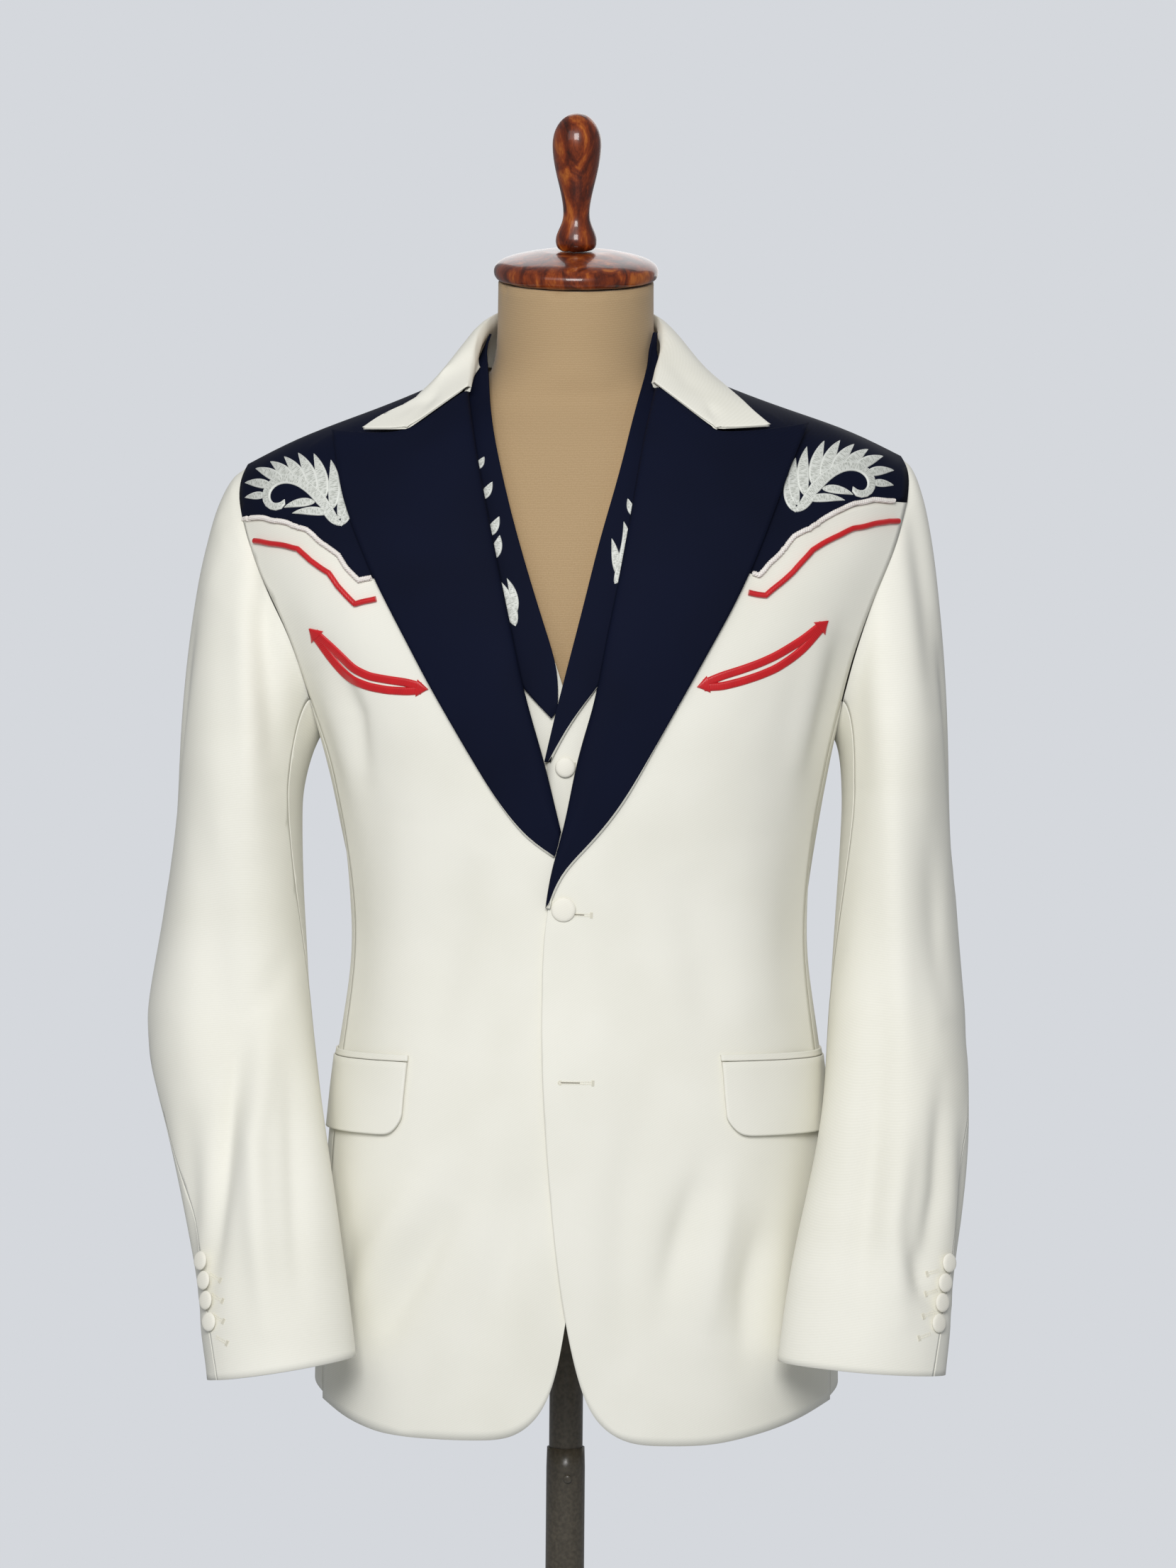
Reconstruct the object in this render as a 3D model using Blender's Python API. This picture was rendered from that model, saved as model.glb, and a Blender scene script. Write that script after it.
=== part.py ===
"""A western suit on a dress form: cream jacket and waistcoat, navy yokes and lapels, telescoping stand.

The tables are in millimetres and the meshes in metres, +Z up. The wearer faces -Y, so the wearer's left
is +X. The origin is the middle of the stand's underside, on the floor.

Every cloth piece is a wall on one body surface. A place on it is an angle round the body (0 is the front
middle, 90 the wearer's left side, 180 the back middle), a length k up the body's side, and a distance out
from the jacket's outer face.
"""

import math
from collections import namedtuple

import bmesh
import bpy
from mathutils import Matrix, Vector

MM = 0.001

# Thickness of each cloth, and the clearances between pieces
SUITING = 2.0
VEST_CLOTH = 1.5
FLAP_CLOTH = 1.5
TRIM_CLOTH = 1.0
SEAM = 0.5
SEAM_ANGLE = 0.16
SEAT = 0.4
OVERLAP = 3.2

# How far inside the jacket's face the waistcoat and the form lie
VEST_OUT = -11.0
VEST_OVERLAP = 2.6
VEST_LAPEL_LIFT = 2.6
VEST_SHOULDER_LIFT = 2.4
FORM_OUT = -21.5

# Heights that several pieces share
ARMPIT = 1180.0
SIDE_SEAM_TOP = 1207.0
SHOULDER_TIP = 1375.0
NECKLINE = 1434.0
SLEEVE_HEAD_GAP = 0.8

# The wearer's left shoulder sits higher: rise of the shoulders for each mm to the left
SHOULDER_SLOPE = 0.021

SIDES = {"right": -1, "left": 1}

Section = namedtuple("Section", "z half_width front back middle power")
BODY_SECTIONS = [
    Section(690, 182, 124, 118, 7, 2.5),
    Section(780, 181, 124, 118, 7, 2.5),
    Section(870, 176, 122, 115, 7, 2.45),
    Section(950, 170, 118, 110, 7, 2.4),
    Section(1000, 162, 114, 103, 7, 2.35),
    Section(1040, 157, 113, 100, 7, 2.3),
    Section(1080, 160, 116, 103, 6, 2.3),
    Section(1150, 171, 124, 112, 5, 2.3),
    Section(1200, 184, 128, 118, 3, 2.35),
    Section(1225, 196, 128, 120, 2, 2.4),
    Section(1260, 216, 126, 121, 1, 2.4),
    Section(1290, 229, 122, 120, 0, 2.4),
    Section(1320, 237, 116, 117, 0, 2.4),
    Section(1348, 237, 106, 111, 0, 2.3),
    Section(1375, 227, 94, 102, 0, 2.2),
    Section(1392, 195, 87, 96, 0, 2.1),
    Section(1404, 161, 80, 91, 0, 2.0),
    Section(1423, 109, 69, 84, 0, 2.0),
    Section(1440, 77, 60, 78, 0, 2.0),
    Section(1461, 72, 57, 74, 0, 2.0),
    Section(1480, 70, 55, 72, 0, 2.0),
]

# The armhole: the angle of its front and back edge at each height
Armhole = namedtuple("Armhole", "z front back")
ARMHOLE = [
    Armhole(1180, 90, 90),
    Armhole(1184, 86, 94.5),
    Armhole(1192, 82, 99),
    Armhole(1207, 77, 104),
    Armhole(1221, 72, 109),
    Armhole(1240, 67, 114),
    Armhole(1262, 64, 117),
    Armhole(1285, 64.5, 116.5),
    Armhole(1312, 68, 113),
    Armhole(1330, 71, 109.5),
    Armhole(1352, 77, 103),
    Armhole(1365, 81, 99),
    Armhole(1372, 85, 95),
    Armhole(1375, 90, 90),
]
VEST_ARMHOLE = [
    Armhole(1150, 90, 90),
    Armhole(1165, 74, 105),
    Armhole(1200, 61, 117),
    Armhole(1260, 53, 124),
    Armhole(1320, 50, 128),
    Armhole(1360, 53, 125),
    Armhole(1380, 62, 116),
    Armhole(1390, 75, 104),
    Armhole(1396, 90, 90),
]

# The visible fold where each lapel rolls, and the front edge below it: x at each height
Edge = namedtuple("Edge", "z x")
RIGHT_ROLL = [
    Edge(1105, -3.0),
    Edge(1116, -5.7),
    Edge(1162, -17.1),
    Edge(1211, -31.3),
    Edge(1251, -40.0),
    Edge(1322, -55.1),
    Edge(1380, -66.5),
    Edge(1418, -72.6),
    Edge(1430, -74.0),
]
LEFT_ROLL = [
    Edge(1066, -16.5),
    Edge(1077, -15.6),
    Edge(1096, -12.0),
    Edge(1116, -5.7),
    Edge(1168, 4.2),
    Edge(1210, 16.4),
    Edge(1230, 19.4),
    Edge(1284, 29.8),
    Edge(1321, 36.3),
    Edge(1404, 50.4),
    Edge(1420, 54.6),
    Edge(1430, 58.0),
]
RIGHT_FRONT_EDGE = [
    Edge(700, -0.5),
    Edge(790, -0.5),
    Edge(830, 4.0),
    Edge(900, 8.0),
    Edge(1060, 8.0),
    Edge(1085, 5.0),
]
LEFT_FRONT_EDGE = [
    Edge(700, 0.4),
    Edge(785, 0.4),
    Edge(816, -4.5),
    Edge(863, -10.3),
    Edge(915, -14.1),
    Edge(941, -16.7),
    Edge(993, -17.7),
    Edge(1050, -17.3),
]

# The jacket's hem: its height at each x on the fronts, then at each angle round to the back middle
Hem = namedtuple("Hem", "at z")
RIGHT_HEM = [
    Hem(-0.5, 790),
    Hem(-3.6, 769),
    Hem(-8.0, 748),
    Hem(-15.7, 730),
    Hem(-29.0, 715),
    Hem(-45.0, 711.5),
    Hem(-92.0, 711),
    Hem(-124.0, 713),
    Hem(-146.0, 719),
    Hem(-160.5, 725),
    Hem(-172.0, 734),
]
LEFT_HEM = [
    Hem(0.4, 785),
    Hem(6.7, 753),
    Hem(15.5, 732),
    Hem(28.6, 716.5),
    Hem(45.0, 709.5),
    Hem(86.0, 708.5),
    Hem(139.0, 717),
    Hem(172.0, 727.5),
    Hem(186.0, 734),
]
BACK_HEM = [Hem(70, 734), Hem(90, 741), Hem(108, 745), Hem(180, 747)]

# The lower edge of each navy yoke: x and z from under the lapel to the armhole
Place = namedtuple("Place", "x z")
RIGHT_YOKE = [
    Place(-40.0, 1290),
    Place(-110.0, 1289),
    Place(-133.6, 1287),
    Place(-143.2, 1285.1),
    Place(-152.4, 1294.8),
    Place(-157.2, 1302.1),
    Place(-168.5, 1310.6),
    Place(-179.8, 1319.7),
    Place(-193.3, 1324.7),
    Place(-210.2, 1329.0),
    Place(-226.8, 1330.0),
]
LEFT_YOKE = [
    Place(26.0, 1296),
    Place(95.0, 1294),
    Place(118.7, 1292.5),
    Place(124.5, 1291.0),
    Place(138.1, 1305.4),
    Place(147.9, 1317.0),
    Place(162.7, 1325.9),
    Place(176.2, 1334.9),
    Place(189.7, 1341.2),
    Place(202.9, 1344.6),
    Place(219.5, 1345.0),
]
# The red cord below it, from the lapel's edge to the armhole
RIGHT_RED = [
    Place(-131.5, 1273.0),
    Place(-145.8, 1269.4),
    Place(-157.9, 1281.6),
    Place(-164.0, 1290.5),
    Place(-176.9, 1299.0),
    Place(-185.8, 1307.4),
    Place(-201.9, 1311.1),
    Place(-218.0, 1314.0),
]
LEFT_RED = [
    Place(117.5, 1279.0),
    Place(129.1, 1277.2),
    Place(147.6, 1293.5),
    Place(160.9, 1309.0),
    Place(175.7, 1317.9),
    Place(189.2, 1324.5),
    Place(214.7, 1331.4),
    Place(222.5, 1331.4),
]
# The back yoke mirrors the same stepped line round to a point at the back middle
BackYoke = namedtuple("BackYoke", "angle z")
BACK_YOKE = [
    BackYoke(109.5, 1330),
    BackYoke(118, 1329),
    BackYoke(126, 1323),
    BackYoke(134, 1312),
    BackYoke(140, 1297),
    BackYoke(144, 1289),
    BackYoke(150, 1291),
    BackYoke(160, 1285),
    BackYoke(170, 1273),
    BackYoke(180, 1262),
]
RED_DROP = 15.0
CORD_RADIUS = 1.25
RED_RADIUS = 1.7

# Outer edge of each lapel, from its lower point to the peak, and its top edge from the peak to the gorge
RIGHT_LAPEL_EDGE = [
    Place(-10.5, 1101.5),
    Place(-31.2, 1115.4),
    Place(-49.9, 1139.2),
    Place(-73.2, 1177.2),
    Place(-95.6, 1215.3),
    Place(-116.7, 1254.8),
    Place(-133.3, 1286.0),
    Place(-150.2, 1325.7),
    Place(-158.8, 1351.9),
    Place(-161.5, 1374.2),
    Place(-165.5, 1390.2),
]
LEFT_LAPEL_EDGE = [
    Place(-15.2, 1068.0),
    Place(-13.6, 1080.5),
    Place(-3.0, 1096.2),
    Place(16.0, 1112.6),
    Place(35.1, 1138.5),
    Place(59.1, 1180.7),
    Place(81.6, 1221.6),
    Place(112.1, 1277.4),
    Place(128.5, 1316.6),
    Place(142.4, 1355.7),
    Place(152.0, 1381.5),
    Place(160.0, 1397.8),
]
RIGHT_LAPEL_TOP = [Place(-165.5, 1390.2), Place(-143.7, 1387.6), Place(-112.7, 1387.0), Place(-73.6, 1417.4)]
LEFT_LAPEL_TOP = [Place(160.0, 1397.8), Place(132.6, 1391.6), Place(95.3, 1388.2), Place(55.2, 1420.4)]

# The lapel's cross-section: distance over the front from the fold, and height out, as it rolls round
Roll = namedtuple("Roll", "over out")
ROLL = [Roll(6.2, -4.9), Roll(3.0, -4.8), Roll(0.8, -3.2), Roll(0.0, -0.6), Roll(0.8, 2.2), Roll(3.6, 4.2)]
FLAT_ROLL = [
    Roll(3.2, -1.6),
    Roll(1.6, -1.4),
    Roll(0.6, -0.9),
    Roll(0.0, 0.2),
    Roll(0.8, 2.0),
    Roll(3.6, 3.2),
]
ROLL_CLEARANCE = 4.0
SHOULDER_LIFT = 1.0
LAPEL_WAYS = [(0.14, 5.2), (0.28, 5.4), (0.43, 5.0), (0.58, 4.7), (0.72, 4.4), (0.86, 4.2), (1.0, 4.0)]

# Smile pockets: x with the welts' upper and lower outer edges, from the arrowhead at the armhole inwards
Welt = namedtuple("Welt", "x upper lower")
RIGHT_SMILE = [
    Welt(-174.3, 1253.2, 1246.3),
    Welt(-163.6, 1243.0, 1232.5),
    Welt(-155.0, 1235.0, 1222.5),
    Welt(-147.5, 1227.6, 1216.6),
    Welt(-136.4, 1222.4, 1212.5),
    Welt(-124.0, 1220.2, 1210.2),
    Welt(-110.0, 1218.2, 1209.4),
    Welt(-101.0, 1216.8, 1209.0),
]
LEFT_SMILE = [
    Welt(168.4, 1261.6, 1254.6),
    Welt(156.1, 1250.6, 1241.0),
    Welt(147.5, 1245.0, 1234.0),
    Welt(137.0, 1238.6, 1227.0),
    Welt(125.4, 1233.2, 1222.0),
    Welt(113.0, 1228.6, 1217.8),
    Welt(100.0, 1224.4, 1214.4),
    Welt(88.5, 1220.6, 1212.6),
]
WELT_WIDTH = 3.9
ARROWHEAD = 7.5

# Pocket flaps: their inner edge, and the heights of the jet, the flap's top and its lower edge
Flap = namedtuple("Flap", "inner jet_top jet_bottom top bottom outer_angle")
FLAPS = {
    "right": Flap(-108.2, 966.0, 961.6, 961.2, 912.5, 98),
    "left": Flap(103.0, 968.6, 964.2, 963.8, 914.5, 98),
}
FLAP_CORNER = 11.0

# Waistcoat: its front edges (x at each height), its lapels' outer edges and its hem
VEST_RIGHT_V = [
    Edge(850, 9.0),
    Edge(1150, 9.0),
    Edge(1190, 3.0),
    Edge(1214, -5.8),
    Edge(1248, -17.3),
    Edge(1299, -33.0),
    Edge(1320, -39.0),
    Edge(1359, -48.6),
    Edge(1398, -57.0),
    Edge(1443, -61.5),
    Edge(1461, -61.0),
]
VEST_LEFT_V = [
    Edge(850, -17.5),
    Edge(1150, -17.5),
    Edge(1162, -17.1),
    Edge(1177, -14.0),
    Edge(1192, -10.7),
    Edge(1214, -5.3),
    Edge(1262, 6.5),
    Edge(1295, 14.3),
    Edge(1325, 21.2),
    Edge(1359, 31.1),
    Edge(1393, 39.2),
    Edge(1422, 45.4),
    Edge(1443, 53.0),
    Edge(1461, 58.5),
]
VEST_RIGHT_LAPEL = [
    Place(-13.5, 1193.5),
    Place(-32.8, 1213.3),
    Place(-58.0, 1252.0),
    Place(-76.0, 1300.0),
    Place(-88.0, 1350.0),
    Place(-92.0, 1390.0),
    Place(-78.0, 1420.0),
]
VEST_LEFT_LAPEL = [
    Place(-15.6, 1164.0),
    Place(-9.4, 1181.0),
    Place(-1.2, 1192.0),
    Place(15.9, 1212.0),
    Place(42.0, 1252.0),
    Place(64.0, 1300.0),
    Place(78.0, 1350.0),
    Place(82.0, 1390.0),
    Place(64.0, 1425.0),
]
VEST_HEM = [Hem(0, 872), Hem(8, 862), Hem(22, 880), Hem(50, 893), Hem(90, 900), Hem(180, 903)]
VEST_TOP = 1432.0
VEST_LAPEL_LOW = {"right": 1199.0, "left": 1164.0}
VEST_LAPEL_HIGH = 1440.0
VEST_LAPEL_PAST = 0.9
# Its end beside the neck, inside the collar: height, inner and outer edge, and out of the body
NeckBand = namedtuple("NeckBand", "z inner outer out")
VEST_NECK = {
    "right": [
        NeckBand(1448, 62.7, 66.5, -7.5),
        NeckBand(1456, 62.2, 64.8, -9.5),
        NeckBand(1464, 61.0, 62.6, -12.0),
    ],
    "left": [
        NeckBand(1448, 51.2, 56.0, -10.5),
        NeckBand(1456, 53.2, 56.0, -11.0),
        NeckBand(1464, 55.0, 56.6, -12.0),
    ],
}

# Sleeves: centre, half width and half depth of each cross-section below the armhole
Cuff = namedtuple("Cuff", "z x y half_width half_depth twist")
SLEEVES = {
    "right": [
        Cuff(1131, -231.0, 0, 43.8, 71, 0),
        Cuff(1080, -232.6, -1, 46.7, 66, 10),
        Cuff(1033, -234.2, -5, 52.2, 60, 22),
        Cuff(995, -236.4, -14, 57.6, 55, 32),
        Cuff(970, -233.4, -24, 57.8, 53, 38),
        Cuff(930, -223.4, -45, 55.0, 50, 47),
        Cuff(885, -212.6, -70, 52.8, 46, 54),
        Cuff(838, -203.0, -92, 52.0, 42, 60),
        Cuff(797, -195.8, -108, 51.6, 40, 64),
        Cuff(759, -190.0, -119, 51.4, 39, 67),
    ],
    "left": [
        Cuff(1131, 225.6, 0, 37.6, 71, 0),
        Cuff(1080, 226.2, -2, 41.4, 66, 10),
        Cuff(1033, 226.2, -9, 44.8, 60, 22),
        Cuff(995, 225.9, -22, 47.4, 55, 32),
        Cuff(970, 225.3, -36, 48.4, 53, 38),
        Cuff(930, 223.4, -62, 50.8, 49, 47),
        Cuff(885, 217.4, -86, 54.0, 45, 54),
        Cuff(838, 208.2, -104, 56.6, 41, 60),
        Cuff(797, 201.6, -115, 57.4, 39, 64),
        Cuff(763, 197.4, -123, 57.4, 38, 67),
    ],
}
# How far a cross-section leans with the forearm, sideways and forwards: the cuffs hang almost level
Lean = namedtuple("Lean", "sideways forwards")
SLEEVE_LEAN = {"right": Lean(1.0, 0.12), "left": Lean(0.5, 0.12)}
# How the cloth leaves the armhole: reach outwards and drop, by the station's angle round the sleeve
HEAD_REACH = {"right": 80.0, "left": 58.0}
ARMPIT_REACH = 15.0
HEAD_DROP = 0.0
ARMPIT_DROP = 22.0

# Collar: each station's fold (x for each side, y, z), the outer edge of its leaf on the body (angle, z, lift)
# and the angle of its stand's foot
Collar = namedtuple("Collar", "right_x left_x y z edge_angle edge_z lift foot_angle")
COLLAR_STATIONS = [
    Collar(70.6, 60.4, -30, 1449, 46, 1405.0, 4.0, 64),
    Collar(67.0, 60.8, -17, 1461, 57, 1419.0, 3.4, 76),
    Collar(62.4, 59.8, -4, 1470, 76, 1428.0, 2.8, 88),
    Collar(57.0, 57.0, 23, 1477, 102, 1431.0, 2.8, 106),
    Collar(47.0, 47.0, 46, 1484, 122, 1432.0, 2.8, 126),
    Collar(28.0, 28.0, 62, 1489, 146, 1435.0, 3.0, 152),
    Collar(0.0, 0.0, 68, 1491, 180, 1436.0, 3.0, 180),
]
COLLAR_LIFT = 4.6
GORGE_GAP = 1.9
END_CLEARANCE = Vector((0.0, 1.1, 2.2))
COLLAR_TUCK = ((3.2, 4.6), (0.6, 4.2), (-0.6, 2.6))
COLLAR_FOOT_Z = 1444.0
COLLAR_FOOT_OUT = -0.6
COLLAR_WAYS = (0.07, 0.28, 0.52, 0.78, 1.0)

# Buttons: diameter and thickness
FRONT_BUTTON = (17.5, 3.4)
HIDDEN_BUTTON = (17.5, 2.2)
VEST_BUTTON = (14.4, 3.0)
SLEEVE_BUTTON = (13.6, 3.4)
BUTTON_PROFILE = ((0.0, 0.82), (0.35, 1.0), (0.75, 0.86), (1.0, 0.0))
BUTTON_SIDES = 10
BUTTON_X = -4.3
TOP_BUTTON_Z = 1066.0
LOWER_BUTTON = Place(1.0, 958.0)
BUTTON_BUMP = 2.8
VEST_BUTTON_X = -3.9
VEST_BUTTON_TOP = 1161.0
VEST_BUTTON_STEP = 58.0
VEST_BUTTON_COUNT = 5
SLEEVE_BUTTON_Z = {"right": (829.3, 816.8, 804.0, 790.4), "left": (833.4, 820.6, 807.8, 794.6)}
SLEEVE_BUTTON_X = {"right": (-243.6, -241.0, -239.0, -236.4), "left": (253.6, 250.7, 248.6, 246.2)}

# The dress form and its stand
TORSO_BOTTOM = 840.0
TORSO_LEVELS = (900, 960, 1010, 1050, 1100, 1160, 1215, 1262, 1300, 1330, 1355, 1378, 1396, 1410, 1426)
NECK_TILT = math.radians(14.5)
NECK_TOP = -8.0
NECK_RADIUS = 54.5
CAP_CENTRE = (0.0, -8.0, 1506.5)
Turned = namedtuple("Turned", "height radius")
CAP_PROFILE = [
    Turned(-7.5, 0.0),
    Turned(-7.5, 53.0),
    Turned(-5.6, 56.6),
    Turned(-1.6, 57.8),
    Turned(2.6, 57.0),
    Turned(6.6, 52.0),
    Turned(9.4, 42.0),
    Turned(11.8, 30.0),
    Turned(13.0, 22.0),
    Turned(13.0, 0.0),
]
FINIAL_PROFILE = [
    Turned(13.4, 0.0),
    Turned(13.4, 12.0),
    Turned(17.0, 14.6),
    Turned(22.5, 14.8),
    Turned(28.0, 12.4),
    Turned(34.0, 9.6),
    Turned(40.0, 9.2),
    Turned(49.0, 10.2),
    Turned(60.0, 13.0),
    Turned(72.0, 16.0),
    Turned(84.0, 17.6),
    Turned(93.0, 17.0),
    Turned(101.0, 13.4),
    Turned(106.5, 7.6),
    Turned(108.4, 0.0),
]
BASE_RADIUS = 180.0
BASE_THICKNESS = 10.0
OUTER_POLE_RADIUS = 13.3
OUTER_POLE_BORE = 12.2
OUTER_POLE_TOP = 689.0
INNER_POLE_RADIUS = 11.5
INNER_POLE_BOTTOM = 290.0
SPRING_BUTTON = (6.6, 2.4)
SPRING_BUTTON_Z = 669.0

# Finish of each material: sRGB colour, roughness and metallic
Finish = namedtuple("Finish", "colour roughness metallic")
FINISHES = {
    "cream_wool": Finish((0.925, 0.918, 0.859), 0.75, 0.0),
    "navy_wool": Finish((0.106, 0.118, 0.192), 0.80, 0.0),
    "red_satin": Finish((0.769, 0.137, 0.165), 0.45, 0.0),
    "white_cord": Finish((0.930, 0.930, 0.915), 0.60, 0.0),
    "form_linen": Finish((0.710, 0.627, 0.518), 0.85, 0.0),
    "mahogany": Finish((0.330, 0.110, 0.060), 0.22, 0.0),
    "black_steel": Finish((0.060, 0.055, 0.055), 0.35, 0.6),
}


def clear_scene():
    for old in list(bpy.data.objects):
        bpy.data.objects.remove(old, do_unlink=True)


def linear(value):
    return value / 12.92 if value <= 0.04045 else ((value + 0.055) / 1.055) ** 2.4


def material(name):
    """The named finish as a Principled BSDF, made once."""
    found = bpy.data.materials.get(name)
    if found:
        return found
    finish = FINISHES[name]
    made = bpy.data.materials.new(name)
    made.use_nodes = True
    shader = made.node_tree.nodes["Principled BSDF"]
    shader.inputs["Base Color"].default_value = [linear(c) for c in finish.colour] + [1.0]
    shader.inputs["Roughness"].default_value = finish.roughness
    shader.inputs["Metallic"].default_value = finish.metallic
    return made


# Smooth curves through the tables
class Track:
    """A smooth curve through a table's rows, with no overshoot between them."""

    def __init__(self, keys, values):
        order = sorted(range(len(keys)), key=lambda i: keys[i])
        self.keys = [float(keys[i]) for i in order]
        self.values = [float(values[i]) for i in order]
        steps = [b - a for a, b in zip(self.keys, self.keys[1:])]
        rates = [(b - a) / h for a, b, h in zip(self.values, self.values[1:], steps)]
        self.slopes = [rates[0]]
        for before, after in zip(rates, rates[1:]):
            same_way = before * after > 0
            self.slopes.append(2 * before * after / (before + after) if same_way else 0.0)
        self.slopes.append(rates[-1])

    def __call__(self, key):
        key = min(max(key, self.keys[0]), self.keys[-1])
        i = 0
        while i < len(self.keys) - 2 and key > self.keys[i + 1]:
            i += 1
        h = self.keys[i + 1] - self.keys[i]
        t = (key - self.keys[i]) / h
        start, end = self.values[i], self.values[i + 1]
        return (
            (2 * t**3 - 3 * t**2 + 1) * start
            + (t**3 - 2 * t**2 + t) * h * self.slopes[i]
            + (3 * t**2 - 2 * t**3) * end
            + (t**3 - t**2) * h * self.slopes[i + 1]
        )


def along(places):
    """A straight-sided line through places, read by the fraction of its length."""
    lengths = [0.0]
    for a, b in zip(places, places[1:]):
        lengths.append(lengths[-1] + math.dist(a, b))

    def read(share):
        target = share * lengths[-1]
        i = 0
        while i < len(places) - 2 and target > lengths[i + 1]:
            i += 1
        t = (target - lengths[i]) / (lengths[i + 1] - lengths[i])
        return tuple(a + (b - a) * t for a, b in zip(places[i], places[i + 1]))

    return read, [length / lengths[-1] for length in lengths]


def mix(a, b, t):
    return a + (b - a) * t


def ease(start, end, value):
    t = min(max((value - start) / (end - start), 0.0), 1.0)
    return t * t * (3 - 2 * t)


# The body surface
SIDE_LENGTHS = [0.0]
for lower, upper in zip(BODY_SECTIONS, BODY_SECTIONS[1:]):
    SIDE_LENGTHS.append(SIDE_LENGTHS[-1] + math.hypot(upper.z - lower.z, upper.half_width - lower.half_width))
BODY = {name: Track(SIDE_LENGTHS, [getattr(s, name) for s in BODY_SECTIONS]) for name in Section._fields}


def height_to_k(z):
    low, high = SIDE_LENGTHS[0], SIDE_LENGTHS[-1]
    for _ in range(40):
        middle = (low + high) / 2
        if BODY["z"](middle) < z:
            low = middle
        else:
            high = middle
    return (low + high) / 2


def bare(angle, k):
    """The point on the jacket's outer face, in mm."""
    turn = math.radians(angle)
    across, ahead = math.sin(turn), math.cos(turn)
    power = 2 / BODY["power"](k)
    depth = BODY["front"](k) if ahead > 0 else BODY["back"](k)
    x = BODY["middle"](k) + BODY["half_width"](k) * math.copysign(abs(across) ** power, across)
    y = -depth * math.copysign(abs(ahead) ** power, ahead)
    z = BODY["z"](k)
    return Vector((x, y, z + SHOULDER_SLOPE * x * ease(1120, 1380, z) * (1 - ease(1425, 1460, z))))


def outward(angle, k):
    """The unit vector straight out of the body there."""
    round_way = bare(angle + 1.0, k) - bare(angle - 1.0, k)
    up_way = bare(angle, k + 1.5) - bare(angle, k - 1.5)
    return round_way.cross(up_way).normalized()


def body(angle, k, out=0.0):
    return bare(angle, k) + outward(angle, k) * out


def angle_at(x, k):
    """The front angle at which the body has this x."""
    share = (x - BODY["middle"](k)) / BODY["half_width"](k)
    share = math.copysign(min(abs(share), 1.0), share)
    return math.degrees(math.asin(math.copysign(abs(share) ** (BODY["power"](k) / 2), share)))


def front_place(x, z, out=0.0):
    """Angle and k of the front point that shows at this x and z once it is moved out."""
    k = height_to_k(z)
    angle = angle_at(x, k)
    aim = Vector((x, 0, z))
    for _ in range(8):
        spot = body(angle, k, out)
        aim.x += x - spot.x
        aim.z += z - spot.z
        k = height_to_k(aim.z)
        angle = angle_at(aim.x, k)
    return angle, k


def front(x, z, out=0.0):
    """The point that far out from the front of the body that shows at this x and z."""
    return body(*front_place(x, z, out), out)


# Mesh makers
def finish_object(name, bm, material_name):
    mesh = bpy.data.meshes.new(name)
    bm.to_mesh(mesh)
    bm.free()
    made = bpy.data.objects.new(name, mesh)
    bpy.context.scene.collection.objects.link(made)
    mesh.materials.append(material(material_name))
    mesh.shade_smooth()
    mesh.set_sharp_from_angle(angle=math.radians(50))
    return made


def sheet(name, rows, wall, material_name, flip=False):
    """A cloth wall: rows of points on its outer face, thickened inwards by a Solidify modifier."""
    bm = bmesh.new()
    grid = [[bm.verts.new(Vector(p) * MM) for p in row] for row in rows]
    for low, high in zip(grid, grid[1:]):
        for j in range(len(low) - 1):
            corners = [low[j], low[j + 1], high[j + 1], high[j]]
            bm.faces.new(corners[::-1] if flip else corners)
    made = finish_object(name, bm, material_name)
    thicken(made, wall)
    return made


def body_sheet(name, rows, wall, material_name, flip=False):
    """A cloth wall whose rows are places on the body (angle, k, out), with its inner face right behind."""
    bm = bmesh.new()
    faces = []
    for inset in (0.0, wall):
        faces.append([[bm.verts.new(body(a, k, out - inset) * MM) for a, k, out in row] for row in rows])
    outer, inner = faces
    quads = []
    for i in range(len(rows) - 1):
        for j in range(len(rows[0]) - 1):
            quads.append((outer[i][j], outer[i][j + 1], outer[i + 1][j + 1], outer[i + 1][j]))
            quads.append((inner[i][j], inner[i + 1][j], inner[i + 1][j + 1], inner[i][j + 1]))
        for j, order in ((0, 1), (-1, -1)):
            quads.append((outer[i][j], outer[i + 1][j], inner[i + 1][j], inner[i][j])[::order])
    for j in range(len(rows[0]) - 1):
        for i, order in ((0, -1), (-1, 1)):
            quads.append((outer[i][j], outer[i][j + 1], inner[i][j + 1], inner[i][j])[::order])
    for corners in quads:
        bm.faces.new(corners[::-1] if flip else corners)
    return finish_object(name, bm, material_name)


def thicken(made, wall):
    solidify = made.modifiers.new("wall", "SOLIDIFY")
    solidify.thickness = wall * MM
    solidify.offset = -1.0
    solidify.use_quality_normals = True


def spin_whole(bm, geometry, steps):
    """Turn a profile once round the Z axis into a closed surface."""
    whole = {"axis": (0, 0, 1), "cent": (0, 0, 0), "angle": math.tau}
    bmesh.ops.spin(bm, geom=geometry, steps=steps, use_merge=True, **whole)


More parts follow.
